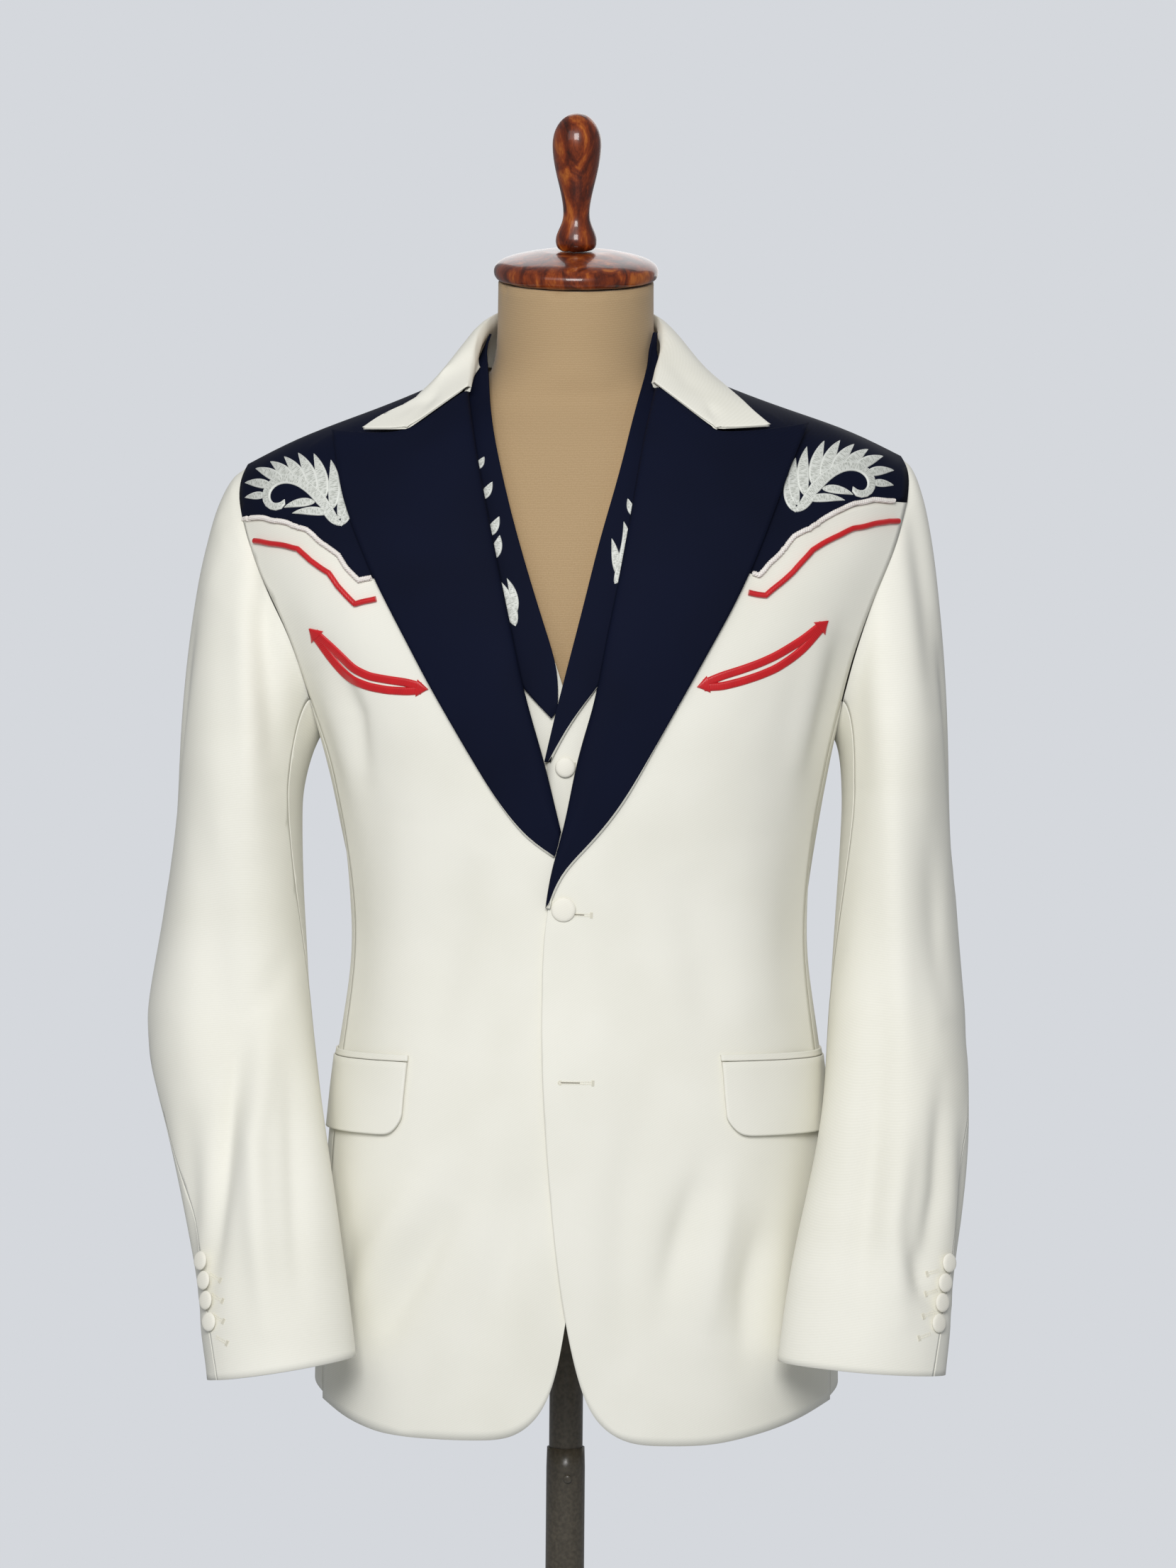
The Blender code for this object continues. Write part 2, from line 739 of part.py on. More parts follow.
def turned(name, profile, centre, tilt, material_name, segments=24):
    """A turned solid: a profile spun round an axis through centre that leans forward by tilt."""
    bm = bmesh.new()
    points = [bm.verts.new((row.radius * MM, 0.0, row.height * MM)) for row in profile]
    edges = [bm.edges.new(pair) for pair in zip(points, points[1:])]
    spin_whole(bm, points + edges, segments)
    bmesh.ops.remove_doubles(bm, verts=bm.verts, dist=0.00001)
    bmesh.ops.recalc_face_normals(bm, faces=bm.faces)
    lean = Matrix.Translation(Vector(centre) * MM) @ Matrix.Rotation(tilt, 4, "X")
    bmesh.ops.transform(bm, matrix=lean, verts=bm.verts)
    return finish_object(name, bm, material_name)


def button(name, size, seat, way, material_name):
    """A covered button: a domed disc standing on its seat, facing the given way."""
    diameter, thickness = size
    radius = diameter / 2
    bm = bmesh.new()
    profile = [(share * thickness, radius * width) for share, width in BUTTON_PROFILE]
    points = [bm.verts.new((0, 0, 0))]
    points += [bm.verts.new((r * MM, 0, h * MM)) for h, r in profile]
    edges = [bm.edges.new(pair) for pair in zip(points, points[1:])]
    spin_whole(bm, points + edges, BUTTON_SIDES)
    bmesh.ops.remove_doubles(bm, verts=bm.verts, dist=0.00001)
    bmesh.ops.recalc_face_normals(bm, faces=bm.faces)
    facing = Vector(way).to_track_quat("Z", "Y").to_matrix().to_4x4()
    bmesh.ops.transform(bm, matrix=Matrix.Translation(Vector(seat) * MM) @ facing, verts=bm.verts)
    return finish_object(name, bm, material_name)


def cord(name, points, radius, material_name):
    """A round cord along points, as a curve with a bevel and closed ends."""
    curve = bpy.data.curves.new(name, "CURVE")
    curve.dimensions = "3D"
    curve.bevel_depth = radius * MM
    curve.bevel_resolution = 1
    curve.use_fill_caps = True
    spline = curve.splines.new("POLY")
    spline.points.add(len(points) - 1)
    for spot, place in zip(spline.points, points):
        spot.co = (*(Vector(place) * MM), 1.0)
    curve.materials.append(material(material_name))
    made = bpy.data.objects.new(name, curve)
    bpy.context.scene.collection.objects.link(made)
    return made


# Lines that the jacket's pieces share
FRONT_ARMHOLE = Track([height_to_k(r.z) for r in ARMHOLE], [r.front for r in ARMHOLE])
BACK_ARMHOLE = Track([height_to_k(r.z) for r in ARMHOLE], [r.back for r in ARMHOLE])
FRONT_SEAM = Track([height_to_k(700), height_to_k(950), height_to_k(SIDE_SEAM_TOP)], [70, 75, 77])
BACK_SEAM = Track([height_to_k(700), height_to_k(950), height_to_k(SIDE_SEAM_TOP)], [110, 106, 104])
ROLL_LINE = {
    "right": Track([e.z for e in RIGHT_ROLL], [e.x for e in RIGHT_ROLL]),
    "left": Track([e.z for e in LEFT_ROLL], [e.x for e in LEFT_ROLL]),
}


def panel_edge(side):
    """The front panel's inner edge: x at each height, clear of the lapel's fold where that rolls."""
    if side == "right":
        rolled = [Edge(e.z, e.x - ROLL_CLEARANCE) for e in RIGHT_ROLL if e.z > 1116]
        below = RIGHT_FRONT_EDGE + [Edge(1106, -2.5), Edge(1120, -10.8)]
    else:
        rolled = [Edge(e.z, e.x + ROLL_CLEARANCE) for e in LEFT_ROLL if e.z > 1116]
        below = LEFT_FRONT_EDGE + [Edge(1066, -15.6), Edge(1077, -13.6), Edge(1096, -8.4), Edge(1116, -1.6)]
    rows = below + rolled
    return Track([e.z for e in rows], [e.x for e in rows])


PANEL_EDGE = {side: panel_edge(side) for side in SIDES}
HEM_LINE = {
    "right": Track([h.at for h in RIGHT_HEM], [h.z for h in RIGHT_HEM]),
    "left": Track([h.at for h in LEFT_HEM], [h.z for h in LEFT_HEM]),
}
BACK_HEM_LINE = Track([h.at for h in BACK_HEM], [h.z for h in BACK_HEM])
YOKE_Z = {"right": RIGHT_YOKE[-1].z, "left": LEFT_YOKE[-1].z}
BACK_YOKE_Z = BACK_YOKE[0].z


def overlap_lift(side, x, z):
    """How far the left front stands off where it lies over the right one and over the lower button."""
    if side == "right":
        return 0.0
    lap = OVERLAP * (1 - ease(12, 50, x)) * (1 - ease(1085, 1185, z))
    bump = BUTTON_BUMP * (1 - ease(13, 50, math.hypot(x - LOWER_BUTTON.x, z - LOWER_BUTTON.z)))
    return lap + bump


def armhole_stations(yoke_z):
    """Heights at which the panels' rows meet the armhole, from the side seam's top to the shoulder tip."""
    below = [mix(SIDE_SEAM_TOP, yoke_z, t) for t in (0.0, 0.17, 0.35, 0.55, 0.77, 1.0)]
    above = [mix(yoke_z, SHOULDER_TIP, t) for t in (0.42, 0.76, 1.0)]
    return below, above


# Columns of the fronts, by their share of the width: some meet the corners of the yoke's stepped edge
FRONT_COLUMNS = {
    "right": (0.0, 0.02, 0.055, 0.12, 0.21, 0.33, 0.456, 0.533, 0.597, 0.682, 0.815, 1.0),
    "left": (0.0, 0.02, 0.055, 0.12, 0.21, 0.31, 0.389, 0.451, 0.515, 0.60, 0.76, 1.0),
}
SIDE_HEIGHTS = (0.0, 0.11, 0.23, 0.35, 0.46, 0.56, 0.66, 0.76, 0.85, 0.93, 1.0)


def outer_edge(k):
    """The front's outer edge: the side seam, then the armhole, then the shoulder seam."""
    if k < height_to_k(SIDE_SEAM_TOP):
        return FRONT_SEAM(k)
    if k < height_to_k(SHOULDER_TIP):
        return FRONT_ARMHOLE(k)
    return 90.0


def front_angle(side, share, k):
    """The angle of a column of a front panel at this k."""
    inner = angle_at(PANEL_EDGE[side](BODY["z"](k)), k) * SIDES[side]
    return SIDES[side] * mix(inner, outer_edge(k) - SEAM_ANGLE, share)


def hem_k(side, share):
    """Where a column of a front panel meets the hem."""
    low, high = height_to_k(700), height_to_k(800)
    for _ in range(30):
        k = (low + high) / 2
        spot = bare(front_angle(side, share, k), k)
        if spot.z < HEM_LINE[side](spot.x):
            low = k
        else:
            high = k
    return (low + high) / 2


def yoke_k(side, share):
    """Where a column of a front panel meets the yoke's lower edge."""
    rows = RIGHT_YOKE if side == "right" else LEFT_YOKE
    xs = [abs(r.x) for r in rows]
    low, high = height_to_k(1240), height_to_k(1360)
    for _ in range(30):
        k = (low + high) / 2
        spot = bare(front_angle(side, share, k), k)
        x = abs(spot.x)
        i = 0
        while i < len(rows) - 2 and x > xs[i + 1]:
            i += 1
        line = mix(rows[i].z, rows[i + 1].z, (x - xs[i]) / (xs[i + 1] - xs[i]))
        if spot.z < line:
            low = k
        else:
            high = k
    return (low + high) / 2


def jacket_front(side):
    """One front panel, from the hem to the yoke, with its rows meeting the armhole's stations."""
    below, _ = armhole_stations(YOKE_Z[side])
    hem_outer = hem_k(side, 1.0)
    levels = [mix(hem_outer, height_to_k(SIDE_SEAM_TOP), t) for t in SIDE_HEIGHTS[:-1]]
    levels += [height_to_k(z) for z in below]
    shares = [(k - hem_outer) / (levels[-1] - hem_outer) for k in levels]
    gap = SEAM / 2
    rows = []
    for v in shares:
        row = []
        for u in FRONT_COLUMNS[side]:
            k = mix(hem_k(side, u), yoke_k(side, u) - gap, v)
            angle = front_angle(side, u, k)
            spot = bare(angle, k)
            row.append((angle, k, overlap_lift(side, spot.x, spot.z)))
        rows.append(row)
    return body_sheet(f"jacket_front_{side}", rows, SUITING, "cream_wool", flip=side == "right")


def front_yoke(side):
    """The navy yoke above it, up to the shoulder seam and the neckline."""
    _, above = armhole_stations(YOKE_Z[side])
    yoke_outer = yoke_k(side, 1.0)
    top = height_to_k(NECKLINE)
    tip = height_to_k(SHOULDER_TIP)
    levels = [yoke_outer] + [height_to_k(z) for z in above]
    levels += [mix(tip, top, t) for t in (0.25, 0.5, 0.75, 1.0)]
    shares = [(k - yoke_outer) / (top - yoke_outer) for k in levels]
    gap = SEAM / 2
    rows = []
    for v in shares:
        row = []
        for u in FRONT_COLUMNS[side]:
            k = mix(yoke_k(side, u) + gap, top, v)
            row.append((front_angle(side, u, k), k, 0.0))
        rows.append(row)
    return body_sheet(f"yoke_front_{side}", rows, SUITING, "navy_wool", flip=side == "right")


def side_panel(side):
    """The panel under the arm; its top edge is the armhole's lowest stretch."""
    sign = SIDES[side]
    stations = [r for r in ARMHOLE if r.z <= SIDE_SEAM_TOP]
    tops = [(r.front, r.z) for r in reversed(stations)] + [(r.back, r.z) for r in stations[1:]]
    first, last = tops[0][0], tops[-1][0]
    rows = []
    for v in SIDE_HEIGHTS:
        row = []
        for angle, z in tops:
            share = (angle - first) / (last - first)
            hem_angle = mix(70, 110, share)
            low = height_to_k(BACK_HEM_LINE(hem_angle))
            k = mix(low, height_to_k(z), v)
            start = FRONT_SEAM(k) + SEAM_ANGLE
            end = BACK_SEAM(k) - SEAM_ANGLE
            row.append((sign * mix(start, end, share), k, 0.0))
        rows.append(row)
    return body_sheet(f"jacket_side_{side}", rows, SUITING, "cream_wool", flip=side == "right")


def back_edge(k):
    if k < height_to_k(SIDE_SEAM_TOP):
        return BACK_SEAM(k)
    if k < height_to_k(SHOULDER_TIP):
        return BACK_ARMHOLE(k)
    return 90.0


BACK_COLUMNS = (0.0, 0.12, 0.24, 0.35, 0.44, 0.49, 0.57, 0.71, 0.86, 1.0)
BACK_YOKE_LINE = Track([r.angle for r in BACK_YOKE], [r.z for r in BACK_YOKE])


def back_angle(share, k):
    return mix(back_edge(k) + SEAM_ANGLE, 180 - SEAM_ANGLE, share)


def back_yoke_k(share):
    k = height_to_k(BACK_YOKE_Z)
    for _ in range(12):
        k = height_to_k(BACK_YOKE_LINE(back_angle(share, k)))
    return k


def jacket_back(side):
    """One half of the back, from the hem to the back yoke, joined at the middle seam."""
    sign = SIDES[side]
    below, _ = armhole_stations(BACK_YOKE_Z)
    hem_outer = height_to_k(BACK_HEM_LINE(BACK_SEAM(height_to_k(740))))
    levels = [mix(hem_outer, height_to_k(SIDE_SEAM_TOP), t) for t in SIDE_HEIGHTS[:-1]]
    levels += [height_to_k(z) for z in below]
    shares = [(k - hem_outer) / (levels[-1] - hem_outer) for k in levels]
    rows = []
    for v in shares:
        row = []
        for u in BACK_COLUMNS:
            low = height_to_k(BACK_HEM_LINE(back_angle(u, height_to_k(745))))
            k = mix(low, back_yoke_k(u) - SEAM / 2, v)
            row.append((sign * back_angle(u, k), k, 0.0))
        rows.append(row)
    return body_sheet(f"jacket_back_{side}", rows, SUITING, "cream_wool", flip=side == "right")


def back_yoke():
    """The navy back yoke, in one piece across both shoulder blades."""
    _, above = armhole_stations(BACK_YOKE_Z)
    top = height_to_k(NECKLINE)
    tip = height_to_k(SHOULDER_TIP)
    levels = [height_to_k(BACK_YOKE_Z)] + [height_to_k(z) for z in above]
    levels += [mix(tip, top, t) for t in (0.25, 0.5, 0.75, 1.0)]
    shares = [(k - levels[0]) / (top - levels[0]) for k in levels]
    rows = []
    for v in shares:
        row = []
        for sign in (1, -1):
            columns = BACK_COLUMNS if sign == 1 else BACK_COLUMNS[-2::-1]
            for u in columns:
                k = mix(back_yoke_k(u) + SEAM / 2, top, v)
                edge = mix(back_edge(k) + SEAM_ANGLE, 180, u)
                row.append((edge if sign == 1 else 360 - edge, k, 0.0))
        rows.append(row)
    return body_sheet("yoke_back", rows, SUITING, "navy_wool")


def sleeve_stations(side):
    """Armhole places round one sleeve: from the shoulder tip down the front, under and up the back."""
    front_below, front_above = armhole_stations(YOKE_Z[side])
    back_below, back_above = armhole_stations(BACK_YOKE_Z)
    under = [1192, 1184]
    ways = [(FRONT_ARMHOLE, z) for z in reversed(front_above)]
    ways += [(FRONT_ARMHOLE, z) for z in reversed(front_below)]
    ways += [(FRONT_ARMHOLE, z) for z in under]
    ways += [(BACK_ARMHOLE, ARMPIT)]
    ways += [(BACK_ARMHOLE, z) for z in reversed(under)]
    ways += [(BACK_ARMHOLE, z) for z in back_below]
    ways += [(BACK_ARMHOLE, z) for z in back_above[:-1]]
    places = []
    for line, z in ways:
        k = height_to_k(z)
        angle = line(k) * SIDES[side]
        places.append((bare(angle, k), outward(angle, k)))
    return places


def sleeve_ring(side, rows, level, turn):
    """A point on the sleeve below the armhole: level is a row number, turn the angle round it."""
    base = min(int(level), len(rows) - 2)
    t = level - base
    z, x, y, width, depth, twist = (mix(a, b, t) for a, b in zip(rows[base], rows[base + 1]))
    low, high = rows[max(base - 1, 0)], rows[min(base + 2, len(rows) - 1)]
    lean = SLEEVE_LEAN[side]
    axis = Vector(((low.x - high.x) * lean.sideways, (low.y - high.y) * lean.forwards, low.z - high.z))
    axis.normalize()
    out = Vector((SIDES[side], 0, 0))
    out = (out - axis * out.dot(axis)).normalized()
    ahead = Vector((0, -1, 0))
    ahead = (ahead - axis * ahead.dot(axis) - out * ahead.dot(out)).normalized()
    angle = math.radians(turn + twist)
    return Vector((x, y, z)) + out * width * math.cos(angle) + ahead * depth * math.sin(angle)


HEAD_STEPS = (0.0, 0.05, 0.13, 0.25, 0.41, 0.6, 0.8)


def sleeve_surface(side):
    """The whole sleeve as rings of points, from the armhole to the cuff, and each column's angle."""
    rows = SLEEVES[side]
    places = sleeve_stations(side)
    lengths = [0.0]
    loop = places + [places[0]]
    for (a, _), (b, _) in zip(loop, loop[1:]):
        lengths.append(lengths[-1] + (b - a).length)
    turns = [360 * length / lengths[-1] for length in lengths[:-1]]
    middle = sum((p for p, _ in places), Vector()) / len(places)
    starts = []
    for place, way in places:
        inwards = middle - place
        inwards -= way * inwards.dot(way)
        starts.append(place + inwards.normalized() * SLEEVE_HEAD_GAP)
    rings = []
    for t in HEAD_STEPS:
        ring = []
        for start, turn in zip(starts, turns):
            end = sleeve_ring(side, rows, 0, turn)
            upper = (1 + math.cos(math.radians(turn))) / 2
            reach = mix(ARMPIT_REACH, HEAD_REACH[side], upper**0.7)
            drop = mix(ARMPIT_DROP, HEAD_DROP, upper)
            leave = Vector((SIDES[side] * reach, 0, -drop))
            arrive = Vector((0, 0, end.z - start.z)) * 1.15
            ring.append(
                start * (2 * t**3 - 3 * t**2 + 1)
                + leave * (t**3 - 2 * t**2 + t)
                + end * (3 * t**2 - 2 * t**3)
                + arrive * (t**3 - t**2)
            )
        rings.append(ring)
    for level in range(len(rows)):
        rings.append([sleeve_ring(side, rows, level, turn) for turn in turns])
    return rings, turns


UPPER_SLEEVE_START = 325.0
UPPER_SLEEVE_END = 150.0


def sleeve(side):
    """The upper sleeve, over the top and front, and the under sleeve behind and beneath it."""
    rings, turns = sleeve_surface(side)
    count = len(turns)
    first = min(range(count), key=lambda i: abs(turns[i] - UPPER_SLEEVE_START))
    last = min(range(count), key=lambda i: abs(turns[i] - UPPER_SLEEVE_END))
    upper = list(range(first, count)) + list(range(0, last + 1))
    under = list(range(last, first + 1))
    for part, columns in (("upper", upper), ("under", under)):
        rows = []
        for ring in rings:
            row = [ring[j].copy() for j in columns]
            row[0] += (row[1] - row[0]).normalized() * SEAM
            row[-1] += (row[-2] - row[-1]).normalized() * SEAM
            rows.append(row)
        sheet(f"sleeve_{part}_{side}", rows, SUITING, "cream_wool", flip=side == "right")


def lapel(side):
    """One peak lapel: a fold that rolls round the front's edge, then lies over it to the outer edge."""
    edge = RIGHT_LAPEL_EDGE if side == "right" else LEFT_LAPEL_EDGE
    top = RIGHT_LAPEL_TOP if side == "right" else LEFT_LAPEL_TOP
    top_read, _ = along(list(reversed(top)))
    edge_read, _ = along(edge)
    low = 1118.0 if side == "right" else 1067.0
    high = top[-1].z
    steps = 16
    rows = []
    for i in range(steps + 1):
        v = i / steps
        z_fold = mix(low, high, v)
        fold = Vector((ROLL_LINE[side](z_fold), z_fold))
        outer = Vector(edge_read(v))
        width = (outer - fold).length
        row = []
        tucked = ease(1135, 1165, z_fold)
        widened = ease(1165, 1195, z_fold)
        for full, flat in zip(ROLL, FLAT_ROLL):
            over = mix(flat.over, full.over, widened) * min(1.0, width / 22)
            out = mix(flat.out, full.out, tucked)
            spot = fold + (outer - fold).normalized() * over
            out += overlap_lift(side, fold.x, z_fold)
            row.append((*front_place(spot.x, spot.y, max(out, 0.0)), out))
        for share, out in LAPEL_WAYS:
            start = ROLL[-1].over * min(1.0, width / 22)
            spot = fold + (outer - fold).normalized() * mix(start, width, share)
            bend = Vector(top_read(share)) - (Vector(top_read(0)) * (1 - share) + Vector(top_read(1)) * share)
            spot = spot + bend * v**5
            height = mix(FLAT_ROLL[-1].out, out, ease(0, 40, width))
            height += overlap_lift(side, spot.x, spot.y) + SHOULDER_LIFT * ease(1355, 1390, spot.y)
            row.append((*front_place(spot.x, spot.y, height), height))
        rows.append([body(*place) for place in row])
    return sheet(f"lapel_{side}", rows, SUITING, "navy_wool", flip=side == "right")


def collar_ends(side):
    """The collar's first stations, on the lapel's gorge: fold, notch and tip, then the leaf's next row."""
    top = RIGHT_LAPEL_TOP if side == "right" else LEFT_LAPEL_TOP
    tip, notch, gorge = (Vector((place.x, place.z + GORGE_GAP)) for place in top[1:])
    first = COLLAR_STATIONS[0]
    fold_step = ((-first.right_x if side == "right" else first.left_x) - gorge.x) / 2
    rows = []
    for rise in (0.0, 1.0):
        along_leaf = []
        for share in COLLAR_WAYS:
            near_notch = share / COLLAR_WAYS[2]
            past_notch = (share - COLLAR_WAYS[2]) / (1 - COLLAR_WAYS[2])
            flat = gorge.lerp(notch, near_notch) if near_notch <= 1 else notch.lerp(tip, past_notch)
            straight = gorge.lerp(tip, share)
            spot = flat.lerp(straight, 0.75 * rise)
            spot = spot + Vector((mix(fold_step, SIDES[side] * -13.0, share), 16.0 - 5.0 * share)) * rise
            along_leaf.append(front(spot.x, spot.y, mix(4.4, COLLAR_LIFT, share)))
        place = front_place(gorge.x + fold_step * rise, gorge.y + 16.0 * rise, 3.6)
        fold = body(*place, 3.6)
        normal = outward(*place)
        way = (along_leaf[-1] - fold).normalized()
        tuck = [fold + way * onwards - normal * deep for onwards, deep in COLLAR_TUCK]
        clear = END_CLEARANCE * (1 - rise)
        rows.append([spot + clear for spot in tuck] + [fold] + along_leaf)
    return rows


def collar():
    """The cream collar: a stand inside, folded over at the neck to a leaf that ends at each notch."""
    halves = {}
    for side, sign in SIDES.items():
        rows = collar_ends(side)
        for station in COLLAR_STATIONS:
            x = station.right_x if side == "right" else station.left_x
            fold = Vector((sign * x, station.y, station.z))
            edge = body(sign * station.edge_angle, height_to_k(station.edge_z), station.lift)
            foot = body(sign * station.foot_angle, height_to_k(COLLAR_FOOT_Z), COLLAR_FOOT_OUT)
            foot.z = min(foot.z, fold.z - 12)
            inwards = Vector((foot.x, foot.y, 0)) - Vector((fold.x, fold.y, 0))
            beside_neck = abs(station.y) < 30
            inner_top = fold - Vector((sign * 2.2 if beside_neck else 0, 0 if beside_neck else 2.2, 4.5))
            row = [foot, foot.lerp(inner_top, 0.5) - inwards * 0.06, inner_top, fold]
            out = (edge - fold).cross(Vector((0, 0, 1))).cross(edge - fold).normalized()
            if out.dot(Vector((fold.x, fold.y - 5, 0))) < 0:
                out = -out
            for share in COLLAR_WAYS:
                bow = 1.4 * math.sin(math.tau * share) + 0.8 * math.sin(math.pi * share)
                rise = 0.8 if share < 0.1 else 0.0
                row.append(fold.lerp(edge, share) + out * bow + Vector((0, 0, rise)))
            rows.append(row)
        halves[side] = rows
    order = halves["right"] + halves["left"][-2::-1]
    return sheet("collar", order, SUITING, "cream_wool")


def smile_pocket(side):
    """The curved pocket: two red welts that meet in an arrowhead at each end, in one piece."""
    rows = RIGHT_SMILE if side == "right" else LEFT_SMILE
    lift = TRIM_CLOTH + 0.8
    bm = bmesh.new()

    def spot(x, z):
        return bm.verts.new(front(x, z, lift) * MM)

    top = [spot(r.x, r.upper) for r in rows]
    bottom = [spot(r.x, r.lower) for r in rows]
    upper_inner, lower_inner = [], []
    for i, r in enumerate(rows):
        band = min(WELT_WIDTH, (r.upper - r.lower) * 0.5 - 0.01)
        if i in (0, len(rows) - 1):
            meeting = spot(r.x, (r.upper + r.lower) / 2)
            upper_inner.append(meeting)
            lower_inner.append(meeting)
        else:
            slope = max(0.0, abs(rows[i + 1].upper - rows[i - 1].upper) / abs(rows[i + 1].x - rows[i - 1].x))
            band = min(band * math.sqrt(1 + slope * slope), (r.upper - r.lower) * 0.44)
            upper_inner.append(spot(r.x, r.upper - band))
            lower_inner.append(spot(r.x, r.lower + band))
    faces = []
    for i in range(len(rows) - 1):
        faces.append((top[i], top[i + 1], upper_inner[i + 1], upper_inner[i]))
        faces.append((lower_inner[i], lower_inner[i + 1], bottom[i + 1], bottom[i]))
    for end, other in ((0, 1), (-1, -2)):
        way = Vector((rows[end].x - rows[other].x, rows[end].upper - rows[other].upper)).normalized()
        across = Vector((-way.y, way.x))
        middle = Vector((rows[end].x, (rows[end].upper + rows[end].lower) / 2))
        point = middle + way * ARROWHEAD * 0.75
        barbs = [middle + across * ARROWHEAD * 0.8, middle - across * ARROWHEAD * 0.8]
        barbs.sort(key=lambda b: -b.y)
        tip, upper_barb, lower_barb = spot(*point), spot(*barbs[0]), spot(*barbs[1])
        faces.append((top[end], upper_inner[end], tip, upper_barb))
        faces.append((upper_inner[end], bottom[end], lower_barb, tip))
    for corners in faces:
        bm.faces.new(corners)
    bmesh.ops.recalc_face_normals(bm, faces=bm.faces)
    bm.normal_update()
    if sum((f.normal.y * f.calc_area() for f in bm.faces)) > 0:
        bmesh.ops.reverse_faces(bm, faces=bm.faces)
    made = finish_object(f"smile_pocket_{side}", bm, "red_satin")
    thicken(made, TRIM_CLOTH)
    return made


def flap(side):
    """The pocket flap, with a rounded front corner, and the jet above it."""
    sign = SIDES[side]
    size = FLAPS[side]
    k_top, k_bottom = height_to_k(size.top), height_to_k(size.bottom)
    start = abs(angle_at(size.inner, k_top))
    columns = (0.0, 0.05, 0.12, 0.25, 0.42, 0.6, 0.8, 1.0)
    rows = []
    for v in (0.0, 0.1, 0.24, 0.6, 1.0):
        row = []
        for u in columns:
            angle = mix(start, size.outer_angle, u)
            reach = (angle - start) * BODY["half_width"](k_top) * math.radians(1)
            rounding = max(0.0, 1 - reach / FLAP_CORNER)
            low = k_bottom + FLAP_CORNER * (1 - math.sqrt(max(0.0, 1 - rounding**2)))
            row.append((sign * angle, mix(low, k_top, v), mix(3.2, 2.8, v)))
        rows.append(row)
    body_sheet(f"pocket_flap_{side}", rows, FLAP_CLOTH, "cream_wool", flip=side == "right")
    rows = []
    for z in (size.jet_bottom + 0.6, size.jet_top):
        k = height_to_k(z)
        rows.append([(sign * mix(start, size.outer_angle, u), k, TRIM_CLOTH + 0.8) for u in columns])
    body_sheet(f"pocket_jet_{side}", rows, TRIM_CLOTH, "cream_wool", flip=side == "right")


def spread(places, gap):
    """Points along straight lines through places, no more than gap apart."""
    points = [places[0]]
    for a, b in zip(places, places[1:]):
        count = max(1, math.ceil(math.dist(a, b) / gap))
        points += [tuple(mix(p, q, i / count) for p, q in zip(a, b)) for i in range(1, count + 1)]
    return points


def piping():
    """The white cord on each yoke's edge, and the red one below it."""
    for side, yoke, red in (("right", RIGHT_YOKE, RIGHT_RED), ("left", LEFT_YOKE, LEFT_RED)):
        sign = SIDES[side]
        start = Place(sign * (135.0 if side == "right" else 120.5), yoke[2].z)
        line = [start] + [p for p in yoke if abs(p.x) > abs(start.x) + 2]
        line[-1] = Place(line[-1].x - sign * 1.5, line[-1].z)
        points = [front(x, z, CORD_RADIUS + SEAM) for x, z in spread(line, 18)]
        cord(f"cord_white_{side}", points, CORD_RADIUS, "white_cord")
        line = [Place(p.x, p.z) for p in red]
        points = [front(x, z, RED_RADIUS + SEAM) for x, z in spread(line, 18)]
        cord(f"cord_red_{side}", points, RED_RADIUS, "red_satin")
    for name, drop, radius, finish in (
        ("cord_white_back", 0.0, CORD_RADIUS, "white_cord"),
        ("cord_red_back", RED_DROP, RED_RADIUS, "red_satin"),
    ):
        rows = [(r.angle, r.z - drop) for r in BACK_YOKE]
        first = BACK_ARMHOLE(height_to_k(rows[0][1])) + 1.2
        rows[0] = (first, rows[0][1])
        half = spread(rows, 11)
        places = [(a, z) for a, z in half] + [(360 - a, z) for a, z in reversed(half[:-1])]
        points = [body(a, height_to_k(z), radius + SEAT) for a, z in places]
        cord(name, points, radius, finish)


VEST_V = {
    "right": Track([e.z for e in VEST_RIGHT_V], [e.x for e in VEST_RIGHT_V]),
    "left": Track([e.z for e in VEST_LEFT_V], [e.x for e in VEST_LEFT_V]),
}
VEST_FRONT_EDGE = Track([height_to_k(r.z) for r in VEST_ARMHOLE], [r.front for r in VEST_ARMHOLE])
VEST_BACK_EDGE = Track([height_to_k(r.z) for r in VEST_ARMHOLE], [r.back for r in VEST_ARMHOLE])
VEST_HEM_LINE = Track([h.at for h in VEST_HEM], [h.z for h in VEST_HEM])
VEST_LEVELS = (0.0, 0.08, 0.16, 0.23, 0.30, 0.37, 0.44, 0.51, 0.58, 0.66, 0.74, 0.81, 0.87, 0.92, 0.96, 1.0)


def vest_lift(side, x, z):
    if side == "right":
        return VEST_OUT
    return VEST_OUT + VEST_OVERLAP * (1 - ease(12, 34, x)) * (1 - ease(1215, 1250, z))


def vest_angle_at(x, k, out=VEST_OUT):
    """The front angle at which a face inside the jacket's, the waistcoat's unless said, has this x."""
    low, high = -90.0, 90.0
    for _ in range(30):
        middle = (low + high) / 2
        if body(middle, k, out).x < x:
            low = middle
        else:
            high = middle
    return (low + high) / 2


